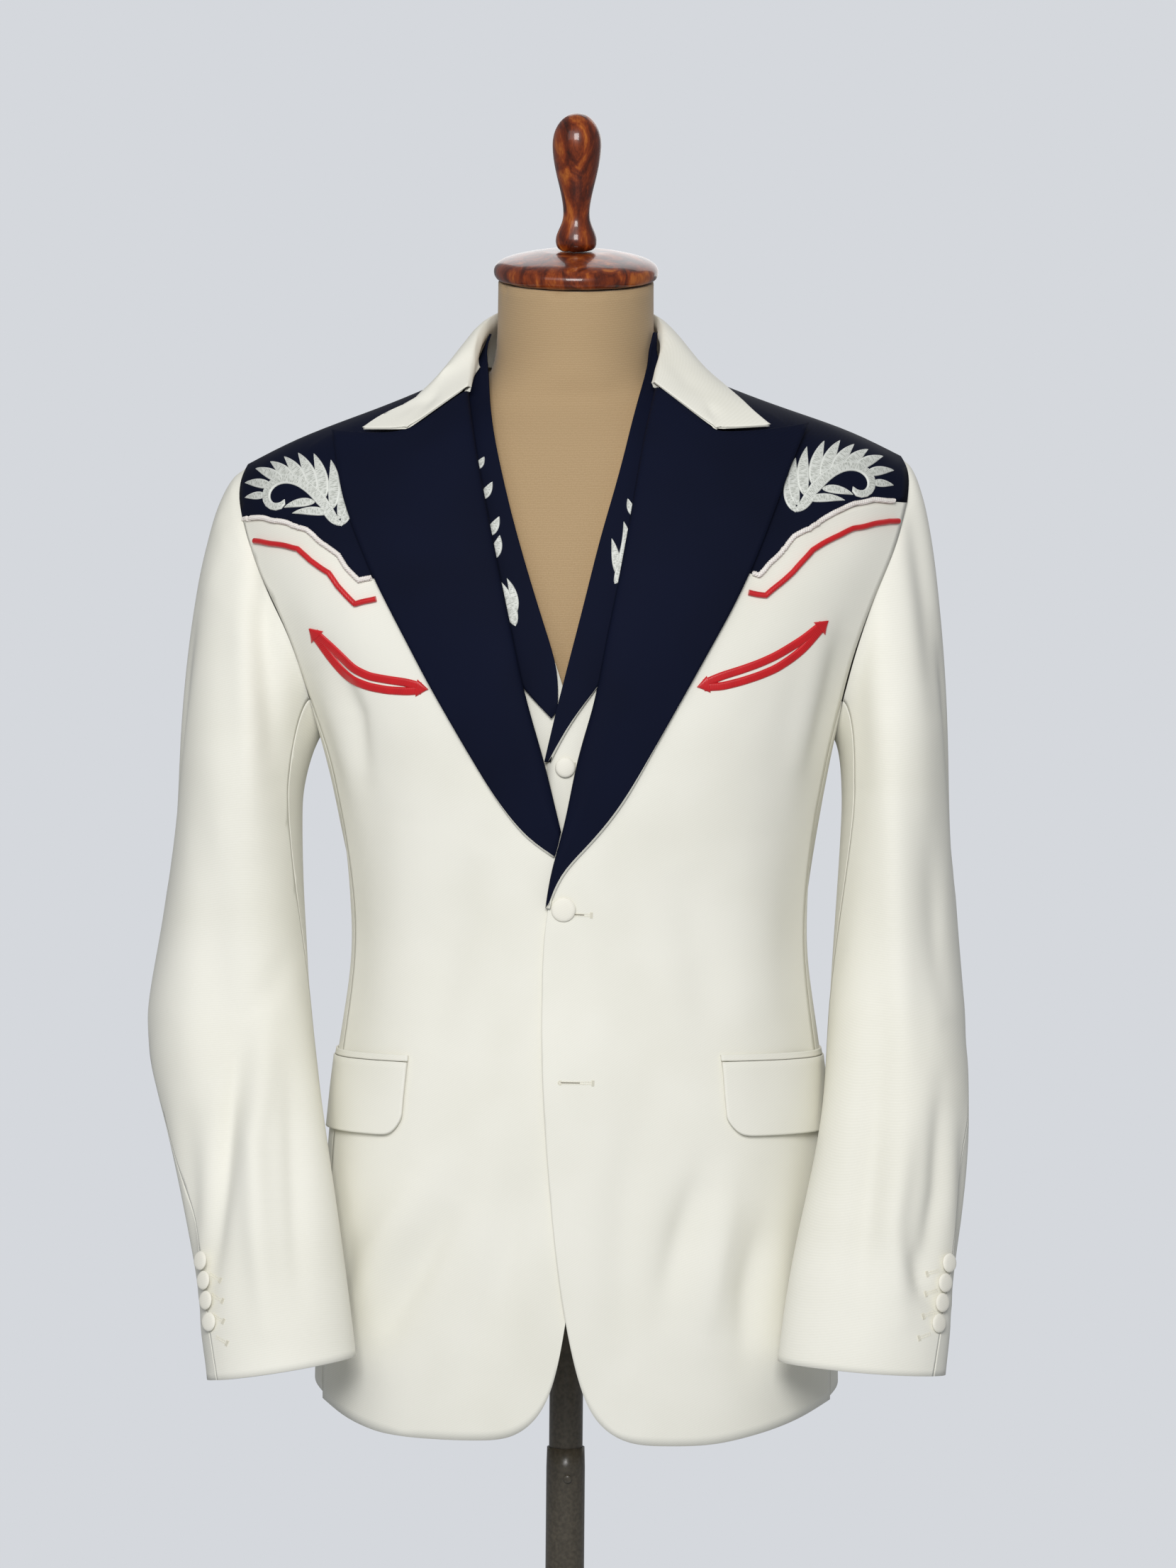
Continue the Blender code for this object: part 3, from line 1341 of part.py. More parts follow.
def vest_front_rows(side):
    """The places (angle, k, out) of one waistcoat front, row by row."""
    sign = SIDES[side]
    columns = (0.0, 0.08, 0.2, 0.36, 0.55, 0.78, 1.0)
    top = height_to_k(VEST_TOP)
    rows = []
    for v in VEST_LEVELS:
        row = []
        for u in columns:
            low = height_to_k(VEST_HEM_LINE(u * 90))
            k = mix(low, top, v)
            inner = sign * vest_angle_at(VEST_V[side](BODY["z"](k)), k)
            outer = VEST_FRONT_EDGE(k) - 0.3
            angle = sign * mix(inner, outer, u)
            spot = bare(angle, k)
            row.append((angle, k, vest_lift(side, spot.x, spot.z)))
        rows.append(row)
    return rows


def vest_front(side):
    rows = vest_front_rows(side)
    return body_sheet(f"waistcoat_front_{side}", rows, VEST_CLOTH, "cream_wool", flip=side == "right")


def vest_back():
    columns = (0.0, 0.22, 0.44, 0.64, 0.82, 1.0)
    top = height_to_k(VEST_TOP)
    rows = []
    for v in VEST_LEVELS:
        row = []
        for sign in (1, -1):
            for u in columns if sign == 1 else columns[-2::-1]:
                k = mix(height_to_k(VEST_HEM_LINE(mix(90, 180, u))), top, v)
                angle = mix(VEST_BACK_EDGE(k) + 0.3, 180, u)
                row.append((angle if sign == 1 else 360 - angle, k, VEST_OUT))
        rows.append(row)
    return body_sheet("waistcoat_back", rows, VEST_CLOTH, "cream_wool")


def vest_lapel(side):
    """The waistcoat's navy lapel, lying on its front from the V edge outwards."""
    sign = SIDES[side]
    outer_line = VEST_RIGHT_LAPEL if side == "right" else VEST_LEFT_LAPEL
    outer_read, _ = along(outer_line)
    low, high = VEST_LAPEL_LOW[side], VEST_LAPEL_HIGH
    steps = 9
    shares = (0.0, 0.12, 0.4, 0.7, 1.0)
    rows = []
    for i in range(steps + 1):
        v = i / steps
        z = mix(low, high, v)
        inner = Vector((VEST_V[side](z) - sign * VEST_LAPEL_PAST, z))
        if side == "right":
            inner.x = min(inner.x, VEST_V["left"](z) - SEAM)
        outer = Vector(outer_read(v))
        row = []
        for share in shares:
            x, spot_z = inner.lerp(outer, share)
            k = height_to_k(spot_z)
            shoulder = ease(1360, 1410, spot_z) * (1 - 0.85 * ease(1428, 1438, spot_z))
            lift = vest_lift(side, x, spot_z) + VEST_LAPEL_LIFT + VEST_SHOULDER_LIFT * shoulder
            row.append((vest_angle_at(x, k, lift), k, lift))
        rows.append(row)
    for band in VEST_NECK[side]:
        k = height_to_k(band.z)
        places = [sign * mix(band.inner, band.outer, share) for share in shares]
        rows.append([(vest_angle_at(x, k, band.out), k, band.out) for x in places])
    return body_sheet(f"waistcoat_lapel_{side}", rows, VEST_CLOTH, "navy_wool", flip=side == "right")


def buttons():
    """Covered buttons on the fronts, the waistcoat and the sleeves, each just clear of its cloth."""
    left_out = overlap_lift("left", BUTTON_X, TOP_BUTTON_Z)
    k = height_to_k(TOP_BUTTON_Z)
    way = outward(angle_at(BUTTON_X, k), k)
    top_seat = front(BUTTON_X, TOP_BUTTON_Z, left_out + SEAT)
    button("front_button_top", FRONT_BUTTON, top_seat, way, "cream_wool")
    k = height_to_k(LOWER_BUTTON.z)
    way = outward(angle_at(LOWER_BUTTON.x, k), k)
    lower_seat = front(LOWER_BUTTON.x, LOWER_BUTTON.z, SEAT)
    button("front_button_lower", HIDDEN_BUTTON, lower_seat, way, "cream_wool")
    vest = [[body(*place) for place in row] for row in vest_front_rows("left")]
    for i in range(VEST_BUTTON_COUNT):
        seat, way = facet_place(vest, VEST_BUTTON_X, VEST_BUTTON_TOP - i * VEST_BUTTON_STEP)
        button(f"waistcoat_button_{i + 1}", VEST_BUTTON, seat + way * SEAM, way, "cream_wool")
    for side in SIDES:
        rings, _ = sleeve_surface(side)
        closed = [ring + ring[:1] for ring in rings[len(HEAD_STEPS):]]
        for number, (x, z) in enumerate(zip(SLEEVE_BUTTON_X[side], SLEEVE_BUTTON_Z[side]), 1):
            seat, way = facet_place(closed, x, z)
            button(f"sleeve_button_{side}_{number}", SLEEVE_BUTTON, seat + way * SEAM, way, "cream_wool")


def facet_place(rows, x, z):
    """The foremost place on a faceted wall at this x and z, and the way out of it."""
    best = None
    for low, high in zip(rows, rows[1:]):
        for j in range(len(low) - 1):
            corners = [low[j], low[j + 1], high[j + 1], high[j]]
            flat = [Vector((c.x, c.z)) for c in corners]
            normal = (corners[2] - corners[0]).cross(corners[3] - corners[1]).normalized()
            if normal.y > 0:
                normal = -normal
            if not inside(Vector((x, z)), flat) or abs(normal.y) < 0.05:
                continue
            middle = sum(corners, Vector()) / 4
            y = middle.y - (normal.x * (x - middle.x) + normal.z * (z - middle.z)) / normal.y
            if best is None or y < best[0].y:
                best = (Vector((x, y, z)), normal)
    return best


def inside(spot, corners):
    turns = []
    for a, b in zip(corners, corners[1:] + corners[:1]):
        turns.append((b - a).x * (spot - a).y - (b - a).y * (spot - a).x)
    return all(t >= 0 for t in turns) or all(t <= 0 for t in turns)


def form_torso():
    """The form's body and neck, one closed solid that the clothes rest just clear of."""
    count = 28
    rows = []
    for z in (TORSO_BOTTOM, *TORSO_LEVELS):
        k = height_to_k(z)
        rows.append([body(360 * j / count, k, FORM_OUT) for j in range(count)])
    for point in rows[0]:
        point.z = TORSO_BOTTOM
    neck = Vector(CAP_CENTRE) + Vector((0, -math.sin(NECK_TILT), math.cos(NECK_TILT))) * NECK_TOP
    for z, radius, y, lean in ((1430, 60.0, 6.0, 0.25), (1447, 55.6, 3.0, 0.5), (1468, NECK_RADIUS, -1.0, 0.8)):
        rows.append(neck_ring(Vector((0, y, z)), radius, NECK_TILT * lean, count))
    rows.append(neck_ring(neck, NECK_RADIUS, NECK_TILT, count))
    bm = bmesh.new()
    rings = [[bm.verts.new(Vector(p) * MM) for p in row] for row in rows]
    for low, high in zip(rings, rings[1:]):
        for j in range(count):
            bm.faces.new((low[j], low[(j + 1) % count], high[(j + 1) % count], high[j]))
    bm.faces.new(rings[0][::-1])
    bm.faces.new(rings[-1])
    return finish_object("form_torso", bm, "form_linen")


def neck_ring(centre, radius, tilt, count):
    ring = []
    for j in range(count):
        turn = math.tau * j / count
        ahead = -math.cos(turn) * radius
        around = Vector((math.sin(turn) * radius, ahead * math.cos(tilt), ahead * math.sin(tilt)))
        ring.append(centre + around)
    return ring


def stand():
    """The turned cap and finial, the two poles, the spring button and the base plate."""
    turned("neck_cap", CAP_PROFILE, CAP_CENTRE, NECK_TILT, "mahogany", 32)
    turned("finial", FINIAL_PROFILE, CAP_CENTRE, NECK_TILT, "mahogany", 18)
    inner = [
        Turned(INNER_POLE_BOTTOM, 0.0),
        Turned(INNER_POLE_BOTTOM, INNER_POLE_RADIUS),
        Turned(TORSO_BOTTOM - SEAT, INNER_POLE_RADIUS),
        Turned(TORSO_BOTTOM - SEAT, 0.0),
    ]
    turned("inner_pole", inner, (0, 0, 0), 0.0, "black_steel", 24)
    floor = BASE_THICKNESS + SEAT
    outer = [
        Turned(floor, 0.0),
        Turned(floor, OUTER_POLE_RADIUS),
        Turned(OUTER_POLE_TOP, OUTER_POLE_RADIUS),
        Turned(OUTER_POLE_TOP, OUTER_POLE_BORE),
        Turned(floor + 4, OUTER_POLE_BORE),
        Turned(floor + 4, 0.0),
    ]
    turned("outer_pole", outer, (0, 0, 0), 0.0, "black_steel", 24)
    seat = (1.5, -OUTER_POLE_RADIUS - 0.3, SPRING_BUTTON_Z)
    button("spring_button", SPRING_BUTTON, seat, (0, -1, 0), "black_steel")
    plate = [
        Turned(0.0, 0.0),
        Turned(0.0, BASE_RADIUS),
        Turned(BASE_THICKNESS * 0.7, BASE_RADIUS),
        Turned(BASE_THICKNESS, BASE_RADIUS - 3),
        Turned(BASE_THICKNESS, 0.0),
    ]
    turned("base_plate", plate, (0, 0, 0), 0.0, "black_steel", 48)


clear_scene()
for wearer_side in SIDES:
    jacket_front(wearer_side)
    front_yoke(wearer_side)
    side_panel(wearer_side)
    jacket_back(wearer_side)
    sleeve(wearer_side)
    lapel(wearer_side)
    smile_pocket(wearer_side)
    flap(wearer_side)
    vest_front(wearer_side)
    vest_lapel(wearer_side)
back_yoke()
collar()
piping()
vest_back()
buttons()
form_torso()
stand()
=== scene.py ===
"""Western suit on a dress form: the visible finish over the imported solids, seen as in the photograph."""

import math
from collections import namedtuple

import bmesh
import bpy
import numpy as np
from mathutils import Matrix, Vector
from mathutils.bvhtree import BVHTree


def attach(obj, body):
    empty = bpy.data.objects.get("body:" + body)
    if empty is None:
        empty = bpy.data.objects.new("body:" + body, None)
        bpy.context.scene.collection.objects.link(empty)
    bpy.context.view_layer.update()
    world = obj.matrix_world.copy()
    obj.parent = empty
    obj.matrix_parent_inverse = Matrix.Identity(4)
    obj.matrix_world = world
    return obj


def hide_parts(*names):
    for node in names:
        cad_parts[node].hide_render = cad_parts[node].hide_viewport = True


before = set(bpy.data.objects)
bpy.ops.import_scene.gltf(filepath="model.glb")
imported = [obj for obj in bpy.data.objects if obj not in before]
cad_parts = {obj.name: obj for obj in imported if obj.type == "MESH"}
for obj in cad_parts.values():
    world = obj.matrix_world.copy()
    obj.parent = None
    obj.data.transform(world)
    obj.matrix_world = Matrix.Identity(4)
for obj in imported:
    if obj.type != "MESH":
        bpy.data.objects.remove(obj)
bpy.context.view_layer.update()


# Camera: a long lens three metres in front, level with the waistcoat's top button, so that the suit shows
# with little perspective. It keeps the photograph's small roll.
CAMERA_DISTANCE = 3.0
CAMERA_HEIGHT = 1.150
CAMERA_SIDE = 0.01138
CAMERA_ROLL = math.radians(0.505)
FOCAL_PIXELS = 6087.66
FRAME_LONG_SIDE = 2212
SENSOR_WIDTH = 36.0


def placed(name, data):
    """A new object of some data, put in the scene."""
    thing = bpy.data.objects.new(name, data)
    bpy.context.scene.collection.objects.link(thing)
    return thing


camera_data = bpy.data.cameras.new("studio_camera")
camera_data.sensor_width = SENSOR_WIDTH
camera_data.lens = SENSOR_WIDTH * FOCAL_PIXELS / FRAME_LONG_SIDE
camera = placed("studio_camera", camera_data)
camera.matrix_world = (
    Matrix.Translation((CAMERA_SIDE, -CAMERA_DISTANCE, CAMERA_HEIGHT))
    @ Matrix.Rotation(-CAMERA_ROLL, 4, "Y")
    @ Matrix.Rotation(math.radians(90), 4, "X")
)
bpy.context.scene.camera = camera


# Studio: an even pale grey room that lights the suit less than it shows to the camera. A soft light stands in
# front and above, a weaker one to the wearer's right, and a wide one behind, which lifts the shoulders.
def srgb(code):
    """An sRGB hex colour as the linear values that Blender's sockets take."""
    channels = [int(code[i:i + 2], 16) / 255 for i in (1, 3, 5)]
    return [c / 12.92 if c <= 0.04045 else ((c + 0.055) / 1.055) ** 2.4 for c in channels] + [1.0]


def add_node(material, kind, inputs=(), settings=(), links=(), steps=()):
    """Adds one shader node: its input values, its settings, its links (own input, other node, its output)
    and, where it is a ramp, its steps (place, sRGB colour)."""
    node = material.node_tree.nodes.new("ShaderNode" + kind)
    for name, value in dict(settings).items():
        setattr(node, name, value)
    for name, value in dict(inputs).items():
        node.inputs[name].default_value = value
    for own, other, output in links:
        material.node_tree.links.new(other.outputs[output], node.inputs[own])
    if steps:
        ramp = node.color_ramp.elements
        for _ in steps[2:]:
            ramp.new(0.5)
        for element, (place, code) in zip(ramp, steps):
            element.position = place
            element.color = srgb(code)
    return node


MULTIPLY_ADD = {"operation": "MULTIPLY_ADD"}
ROOM_GREY = "#D5D8DD"
ROOM_LIGHT = 0.40
# Each light's name, place, width and power
SOFT_LIGHTS = [
    ("key", (-0.1, -2.4, 2.0), 0.9, 44.0),
    ("fill", (-1.3, -2.4, 2.3), 1.4, 9.0),
    ("rim", (0.5, 2.0, 2.6), 2.4, 24.0),
]
LIGHT_AIM = Vector((0.0, 0.0, 1.15))

room = bpy.data.worlds.new("studio_room")
room.use_nodes = True
room.node_tree.nodes["Background"].inputs["Color"].default_value = srgb(ROOM_GREY)
ray = add_node(room, "LightPath")
seen = add_node(room, "Math", {1: 1 - ROOM_LIGHT, 2: ROOM_LIGHT}, MULTIPLY_ADD, [(0, ray, "Is Camera Ray")])
room.node_tree.links.new(seen.outputs[0], room.node_tree.nodes["Background"].inputs["Strength"])
bpy.context.scene.world = room
bpy.context.scene.view_settings.view_transform = "Standard"
for name, place, size, power in SOFT_LIGHTS:
    lamp_data = bpy.data.lights.new(name, "AREA")
    lamp_data.size = size
    lamp_data.energy = power
    lamp = placed(name, lamp_data)
    lamp.location = place
    lamp.rotation_euler = (LIGHT_AIM - Vector(place)).to_track_quat("-Z", "Y").to_euler()


# Floor: a pale studio floor, rolled with matt paint, just under the base plate. It fades into the room before
# its rim, so that no edge shows from any side.
FLOOR_RADIUS = 2.2
FLOOR_DROP = 0.0005
FLOOR_FADE_START = FLOOR_RADIUS * 0.45
FLOOR_FADE_END = FLOOR_RADIUS * 0.97


def surface(name, colour, roughness, **sockets):
    """A new material of one finish, and its Principled shader."""
    material = bpy.data.materials.new(name)
    material.use_nodes = True
    shader = material.node_tree.nodes["Principled BSDF"]
    shader.inputs["Base Color"].default_value = srgb(colour)
    shader.inputs["Roughness"].default_value = roughness
    for socket, value in sockets.items():
        shader.inputs[socket.replace("_", " ")].default_value = value
    return material, shader


floor_mesh = bmesh.new()
bmesh.ops.create_circle(floor_mesh, cap_ends=True, radius=FLOOR_RADIUS, segments=96)
floor_data = bpy.data.meshes.new("floor")
floor_mesh.to_mesh(floor_data)
floor_mesh.free()
floor = placed("floor", floor_data)
floor.location.z = -FLOOR_DROP
floor_paint, floor_shader = surface("matt_floor_paint", "#CFD2D6", 0.8)
floor_place = add_node(floor_paint, "TexCoord")
floor_reach = add_node(floor_paint, "VectorMath", {}, {"operation": "LENGTH"}, [(0, floor_place, "Object")])
floor_fade = {"From Min": FLOOR_FADE_START, "From Max": FLOOR_FADE_END, "To Min": 1.0, "To Max": 0.0}
smoothly = {"interpolation_type": "SMOOTHSTEP"}
floor_cover = add_node(floor_paint, "MapRange", floor_fade, smoothly, [("Value", floor_reach, "Value")])
floor_paint.node_tree.links.new(floor_cover.outputs["Result"], floor_shader.inputs["Alpha"])
floor_data.materials.append(floor_paint)


# Jacket cloth: a fine worsted wool, cream for the body and navy for the yokes and lapels. Each panel is a
# copy of its solid, made smooth, with its cut edges kept firm, and its soft creases are pressed in.
MM = 0.001
TWILL_PITCH = 1.4  # The real twill is about 0.4 mm and too fine to show, so it is drawn this coarse
TWILL_SLANT = math.radians(63)
NAP_GRAIN = 0.7
SHADE_DRIFT = 0.011
TWILL_DEPTH = 0.00015


def wave_scale(pitch):
    """The scale at which Blender's wave texture repeats once in a pitch."""
    return math.tau / 20 / pitch


def finish(material, shader, tone, steps, height=None, strength=0.0, depth=0.0):
    """Colours a surface by its pattern's tone and raises it by its height. Both are a node and its output."""
    colours = add_node(material, "ValToRGB", links=[("Fac", *tone)], steps=steps)
    material.node_tree.links.new(colours.outputs["Color"], shader.inputs["Base Color"])
    if height:
        relief = {"Strength": strength, "Distance": depth}
        bump = add_node(material, "Bump", relief, links=[("Height", *height)])
        material.node_tree.links.new(bump.outputs["Normal"], shader.inputs["Normal"])
    return material


def worsted(name, colour, shade, sheen, bump_strength, gloss=0.22):
    """Worsted wool: a fine steep twill that is barely seen, a soft matt nap and very slight shade changes."""
    feel = {"Sheen_Weight": sheen, "Sheen_Roughness": 0.45, "Specular_IOR_Level": gloss}
    material, shader = surface(name, colour, 0.78, **feel)
    place = add_node(material, "UVMap", settings={"uv_map": "cloth_mm"})
    laid = [("Vector", place, "UV")]
    steep = add_node(material, "Mapping", {"Rotation": (0, 0, TWILL_SLANT)}, links=laid)
    wave = {"Scale": wave_scale(TWILL_PITCH), "Distortion": 1.2, "Detail Scale": 2.0}
    twill = add_node(material, "TexWave", wave, links=[("Vector", steep, "Vector")])
    grain = {"Scale": 1 / NAP_GRAIN, "Detail": 3.0, "Roughness": 0.7}
    nap = add_node(material, "TexNoise", grain, links=laid)
    drift = add_node(material, "TexNoise", {"Scale": SHADE_DRIFT}, links=laid)
    weave = add_node(material, "Math", {1: 0.4}, MULTIPLY_ADD, [(0, twill, "Fac"), (2, nap, "Fac")])
    tone = add_node(material, "Math", {1: 0.5}, MULTIPLY_ADD, [(0, weave, 0), (2, drift, "Fac")])
    steps = [(0.45, shade), (1.0, colour)]
    return finish(material, shader, (tone, 0), steps, (weave, 0), bump_strength, TWILL_DEPTH)


CREAM_WOOL = worsted("cream_worsted_wool", "#ECEADF", "#E3E1D4", 0.08, 0.10)
NAVY_WOOL = worsted("navy_worsted_wool", "#0D1226", "#0A0E1D", 0.0, 0.10, gloss=0.08)
# A solid's rim is where two faces meet this sharply, and a corner is where the rim turns this much
RIM_ANGLE = math.radians(70)
CORNER_TURN = math.radians(38)
ROUNDED_TURN = math.radians(62)
# Two triangles make one quad where they are flatter and squarer than this
QUAD_FOLD = math.radians(40)
QUAD_SKEW = math.radians(80)
FIRM_EDGE = math.radians(35)
SHADED_EDGE = math.radians(60)
MERGE_REACH = 0.00003
SEAM_CLOSING = 0.000155
FACING_SHOW = 0.0017
FACING_FADE = 0.05


def body_map(spot):
    """Cloth millimetres round the body and up it, for the weave."""
    return 150 * math.atan2(spot.x, -spot.y), spot.z / MM


def flat_map(spot):
    """Cloth millimetres across and up, for a piece that faces the front."""
    return spot.x / MM, spot.z / MM


def outer_wall(bm, rim):
    """The faces of the wall that is seen: those joined to the foremost face without crossing the rim."""
    start = min(bm.faces, key=lambda f: f.calc_center_median().y + (1.0 if f.normal.y > -0.2 else 0.0))
    found, waiting = {start}, [start]
    while waiting:
        for edge in waiting.pop().edges:
            if edge in rim:
                continue
            for face in edge.link_faces:
                if face not in found:
                    found.add(face)
                    waiting.append(face)
    return found


def show_facing(bm, rim, side, top):
    """Slides a lapel's cream under-cloth out past its outer edge, up to a height, as a thin pale line."""
    shown = outer_wall(bm, rim)
    pushes = {}
    for face in bm.faces:
        face.material_index = 0
        low = face.calc_center_median().z < top * MM
        outward = face.normal.x * side > 0.1
        if face not in shown and low and outward and sum(edge in rim for edge in face.edges) >= 2:
            face.material_index = 1
            for vert in face.verts:
                if not any(other in shown for other in vert.link_faces):
                    pushes[vert] = pushes.get(vert, Vector()) + face.normal
    for vert, way in pushes.items():
        fade = min(1.0, (top * MM - vert.co.z) / FACING_FADE)
        vert.co += way.normalized() * FACING_SHOW * max(fade, 0.0)


def fine_shell(node, levels=2, firmness=0.9, smoothing=3, corner_turn=CORNER_TURN, facing=None):
    """A copy of a solid's mesh, merged, back in quads and subdivided, with its rim kept."""
    bm = bmesh.new()
    bm.from_mesh(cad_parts[node].data)
    bmesh.ops.remove_doubles(bm, verts=bm.verts, dist=MERGE_REACH)
    flatter = {"angle_face_threshold": QUAD_FOLD, "angle_shape_threshold": QUAD_SKEW}
    bmesh.ops.join_triangles(bm, faces=bm.faces, **flatter)
    creases = bm.edges.layers.float.new("crease_edge")
    corners = bm.verts.layers.float.new("crease_vert")
    rim = {e for e in bm.edges if len(e.link_faces) == 2 and e.calc_face_angle(0.0) > RIM_ANGLE}
    for edge in rim:
        edge[creases] = firmness
    for vert in bm.verts:
        ways = [(e.other_vert(vert).co - vert.co).normalized() for e in vert.link_edges if e in rim]
        turned = len(ways) == 2 and math.pi - ways[0].angle(ways[1], 0.0) > corner_turn
        vert[corners] = 1.0 if turned or len(ways) > 2 else 0.0
    for face in bm.faces:
        if sum(edge in rim for edge in face.edges) >= 2 and len(face.verts) == 4:
            for vert in face.verts:
                vert.co += face.normal * SEAM_CLOSING
    if facing:
        show_facing(bm, rim, *facing)
    coarse = bpy.data.meshes.new(node + "_coarse")
    bm.to_mesh(coarse)
    bm.free()
    holder = placed(node + "_coarse", coarse)
    if facing:
        coarse.materials.append(NAVY_WOOL)
        coarse.materials.append(CREAM_WOOL)
    rounding = holder.modifiers.new("rounding", "SUBSURF")
    rounding.levels = rounding.render_levels = levels
    fine = bpy.data.meshes.new_from_object(holder.evaluated_get(bpy.context.evaluated_depsgraph_get()))
    bpy.data.objects.remove(holder)
    bpy.data.meshes.remove(coarse)
    bm = bmesh.new()
    bm.from_mesh(fine)
    firm = {v for e in bm.edges if e.calc_face_angle(0.0) > FIRM_EDGE for v in e.verts}
    loose = [v for v in bm.verts if v not in firm]
    for _ in range(smoothing):
        bmesh.ops.smooth_vert(bm, verts=loose, factor=0.5, use_axis_x=True, use_axis_y=True, use_axis_z=True)
    bm.to_mesh(fine)
    bm.free()
    return fine


# The creases: seen from one side, a soft trough, or a ridge where the depth is below nothing, along a path of
# (sideways, height) places in millimetres. They fade at both ends, and no two are alike.
FRONT, BACK, RIGHT, LEFT = (0, -1), (0, 1), (-1, 0), (1, 0)
CREASES = {}
# Each row is a crease's side, width, depth and path
CREASES["body"] = [
    (FRONT, 8, 2.4, (-190, 1216), (-177, 1180), (-158, 1142)),
    (FRONT, 9, -1.5, (-178, 1228), (-158, 1180), (-150, 1128)),
    (FRONT, 7, 1.6, (-166, 1240), (-146, 1196), (-140, 1150)),
    (FRONT, 12, 2.2, (-74, 874), (-102, 822), (-128, 772)),
    (FRONT, 13, -1.8, (-96, 890), (-124, 838), (-146, 786)),
    (FRONT, 14, 1.3, (-34, 900), (-40, 840), (-58, 760)),
    (FRONT, 10, 1.4, (-150, 852), (-156, 800), (-150, 750)),
    (FRONT, 16, 1.1, (-60, 1108), (-84, 1040), (-92, 960)),
    (FRONT, 20, -1.0, (-110, 1130), (-118, 1060), (-122, 980)),
    (FRONT, 12, 2.3, (92, 892), (78, 846), (66, 800)),
    (FRONT, 12, -1.8, (110, 884), (98, 832), (92, 778)),
    (FRONT, 11, 1.9, (134, 862), (124, 812), (121, 764)),
    (FRONT, 12, 1.4, (168, 880), (163, 820), (162, 752)),
    (FRONT, 15, 1.1, (46, 930), (38, 860), (36, 770)),
    (FRONT, 8, 2.2, (186, 1258), (178, 1210), (164, 1158)),
    (FRONT, 9, -1.3, (170, 1254), (160, 1204), (152, 1150)),
    (FRONT, 17, 1.0, (70, 1100), (92, 1030), (96, 950)),
    (FRONT, 20, -1.0, (122, 1120), (128, 1050), (130, 980)),
    (BACK, 9, 2.0, (-158, 1252), (-140, 1206), (-112, 1158)),
    (BACK, 9, 2.2, (160, 1246), (138, 1190), (118, 1150)),
    (BACK, 14, 1.5, (-86, 1150), (-96, 1090), (-92, 1010)),
    (BACK, 13, 1.3, (92, 1160), (102, 1080), (94, 1000)),
    (BACK, 16, -1.4, (-60, 1080), (-64, 1000), (-70, 900)),
    (BACK, 16, 1.7, (-112, 930), (-106, 850), (-112, 742)),
    (BACK, 15, 1.6, (60, 940), (74, 850), (70, 740)),
    (BACK, 15, -1.3, (118, 920), (124, 830), (120, 740)),
    (BACK, 10, 1.2, (-56, 1412), (-4, 1404), (48, 1414)),
    (RIGHT, 11, 1.6, (-20, 1120), (4, 1070), (16, 1000)),
    (RIGHT, 13, 1.5, (22, 960), (14, 860), (20, 750)),
    (LEFT, 11, 1.6, (-26, 1130), (-2, 1066), (10, 990)),
    (LEFT, 13, 1.4, (18, 950), (8, 850), (12, 744)),
]
CREASES["right_sleeve"] = [
    (FRONT, 9, 1.9, (-206, 1330), (-210, 1250), (-202, 1150)),
    (FRONT, 10, -1.3, (-226, 1310), (-222, 1220), (-216, 1110)),
    (FRONT, 9, 2.8, (-219, 990), (-226, 930), (-236, 850), (-240, 806)),
    (FRONT, 9, -2.2, (-204, 985), (-212, 910), (-206, 850), (-198, 790)),
    (FRONT, 8, 1.7, (-188, 960), (-182, 890), (-176, 806)),
    (FRONT, 15, 1.5, (-244, 1130), (-240, 1030), (-233, 940), (-236, 850)),
    (FRONT, 9, 0.5, (-190, 1040), (-202, 1010), (-220, 992)),
    (BACK, 10, 1.3, (-206, 1010), (-232, 986), (-254, 978)),
    (BACK, 11, -0.9, (-208, 986), (-234, 966), (-252, 956)),
    (BACK, 11, 1.7, (-222, 1280), (-232, 1180), (-240, 1090)),
    (BACK, 10, 1.5, (-206, 930), (-210, 860), (-202, 800)),
    (RIGHT, 10, 1.8, (-30, 1270), (-20, 1180), (-4, 1090)),
    (RIGHT, 14, 0.3, (-60, 992), (-30, 974), (6, 976)),
    (RIGHT, 10, 1.6, (-80, 940), (-98, 870), (-110, 800)),
]
CREASES["left_sleeve"] = [
    (FRONT, 8, 1.9, (231, 1350), (242, 1276), (249, 1206)),
    (FRONT, 12, -1.6, (212, 1190), (220, 1100), (226, 1000), (231, 930)),
    (FRONT, 10, 2.3, (212, 1000), (204, 920), (196, 850), (192, 800)),
    (FRONT, 9, -2.0, (226, 930), (216, 860), (222, 800)),
    (FRONT, 8, 2.0, (252, 950), (248, 880), (236, 826)),
    (FRONT, 7, 1.4, (226, 846), (238, 818), (252, 800)),
    (FRONT, 8, 1.3, (202, 1290), (196, 1220), (200, 1150)),
    (FRONT, 9, 1.3, (244, 1120), (250, 1050), (258, 990)),
    (BACK, 10, 1.2, (204, 1016), (228, 992), (248, 985)),
    (BACK, 11, -0.9, (206, 992), (230, 970), (248, 962)),
    (BACK, 11, 1.7, (222, 1290), (230, 1190), (236, 1100)),
    (BACK, 10, 1.5, (214, 930), (216, 860), (206, 800)),
    (LEFT, 10, 1.8, (-34, 1260), (-22, 1170), (-8, 1090)),
    (LEFT, 14, 0.3, (-70, 996), (-40, 978), (-8, 982)),
    (LEFT, 10, 1.7, (-84, 930), (-104, 860), (-116, 800)),
]
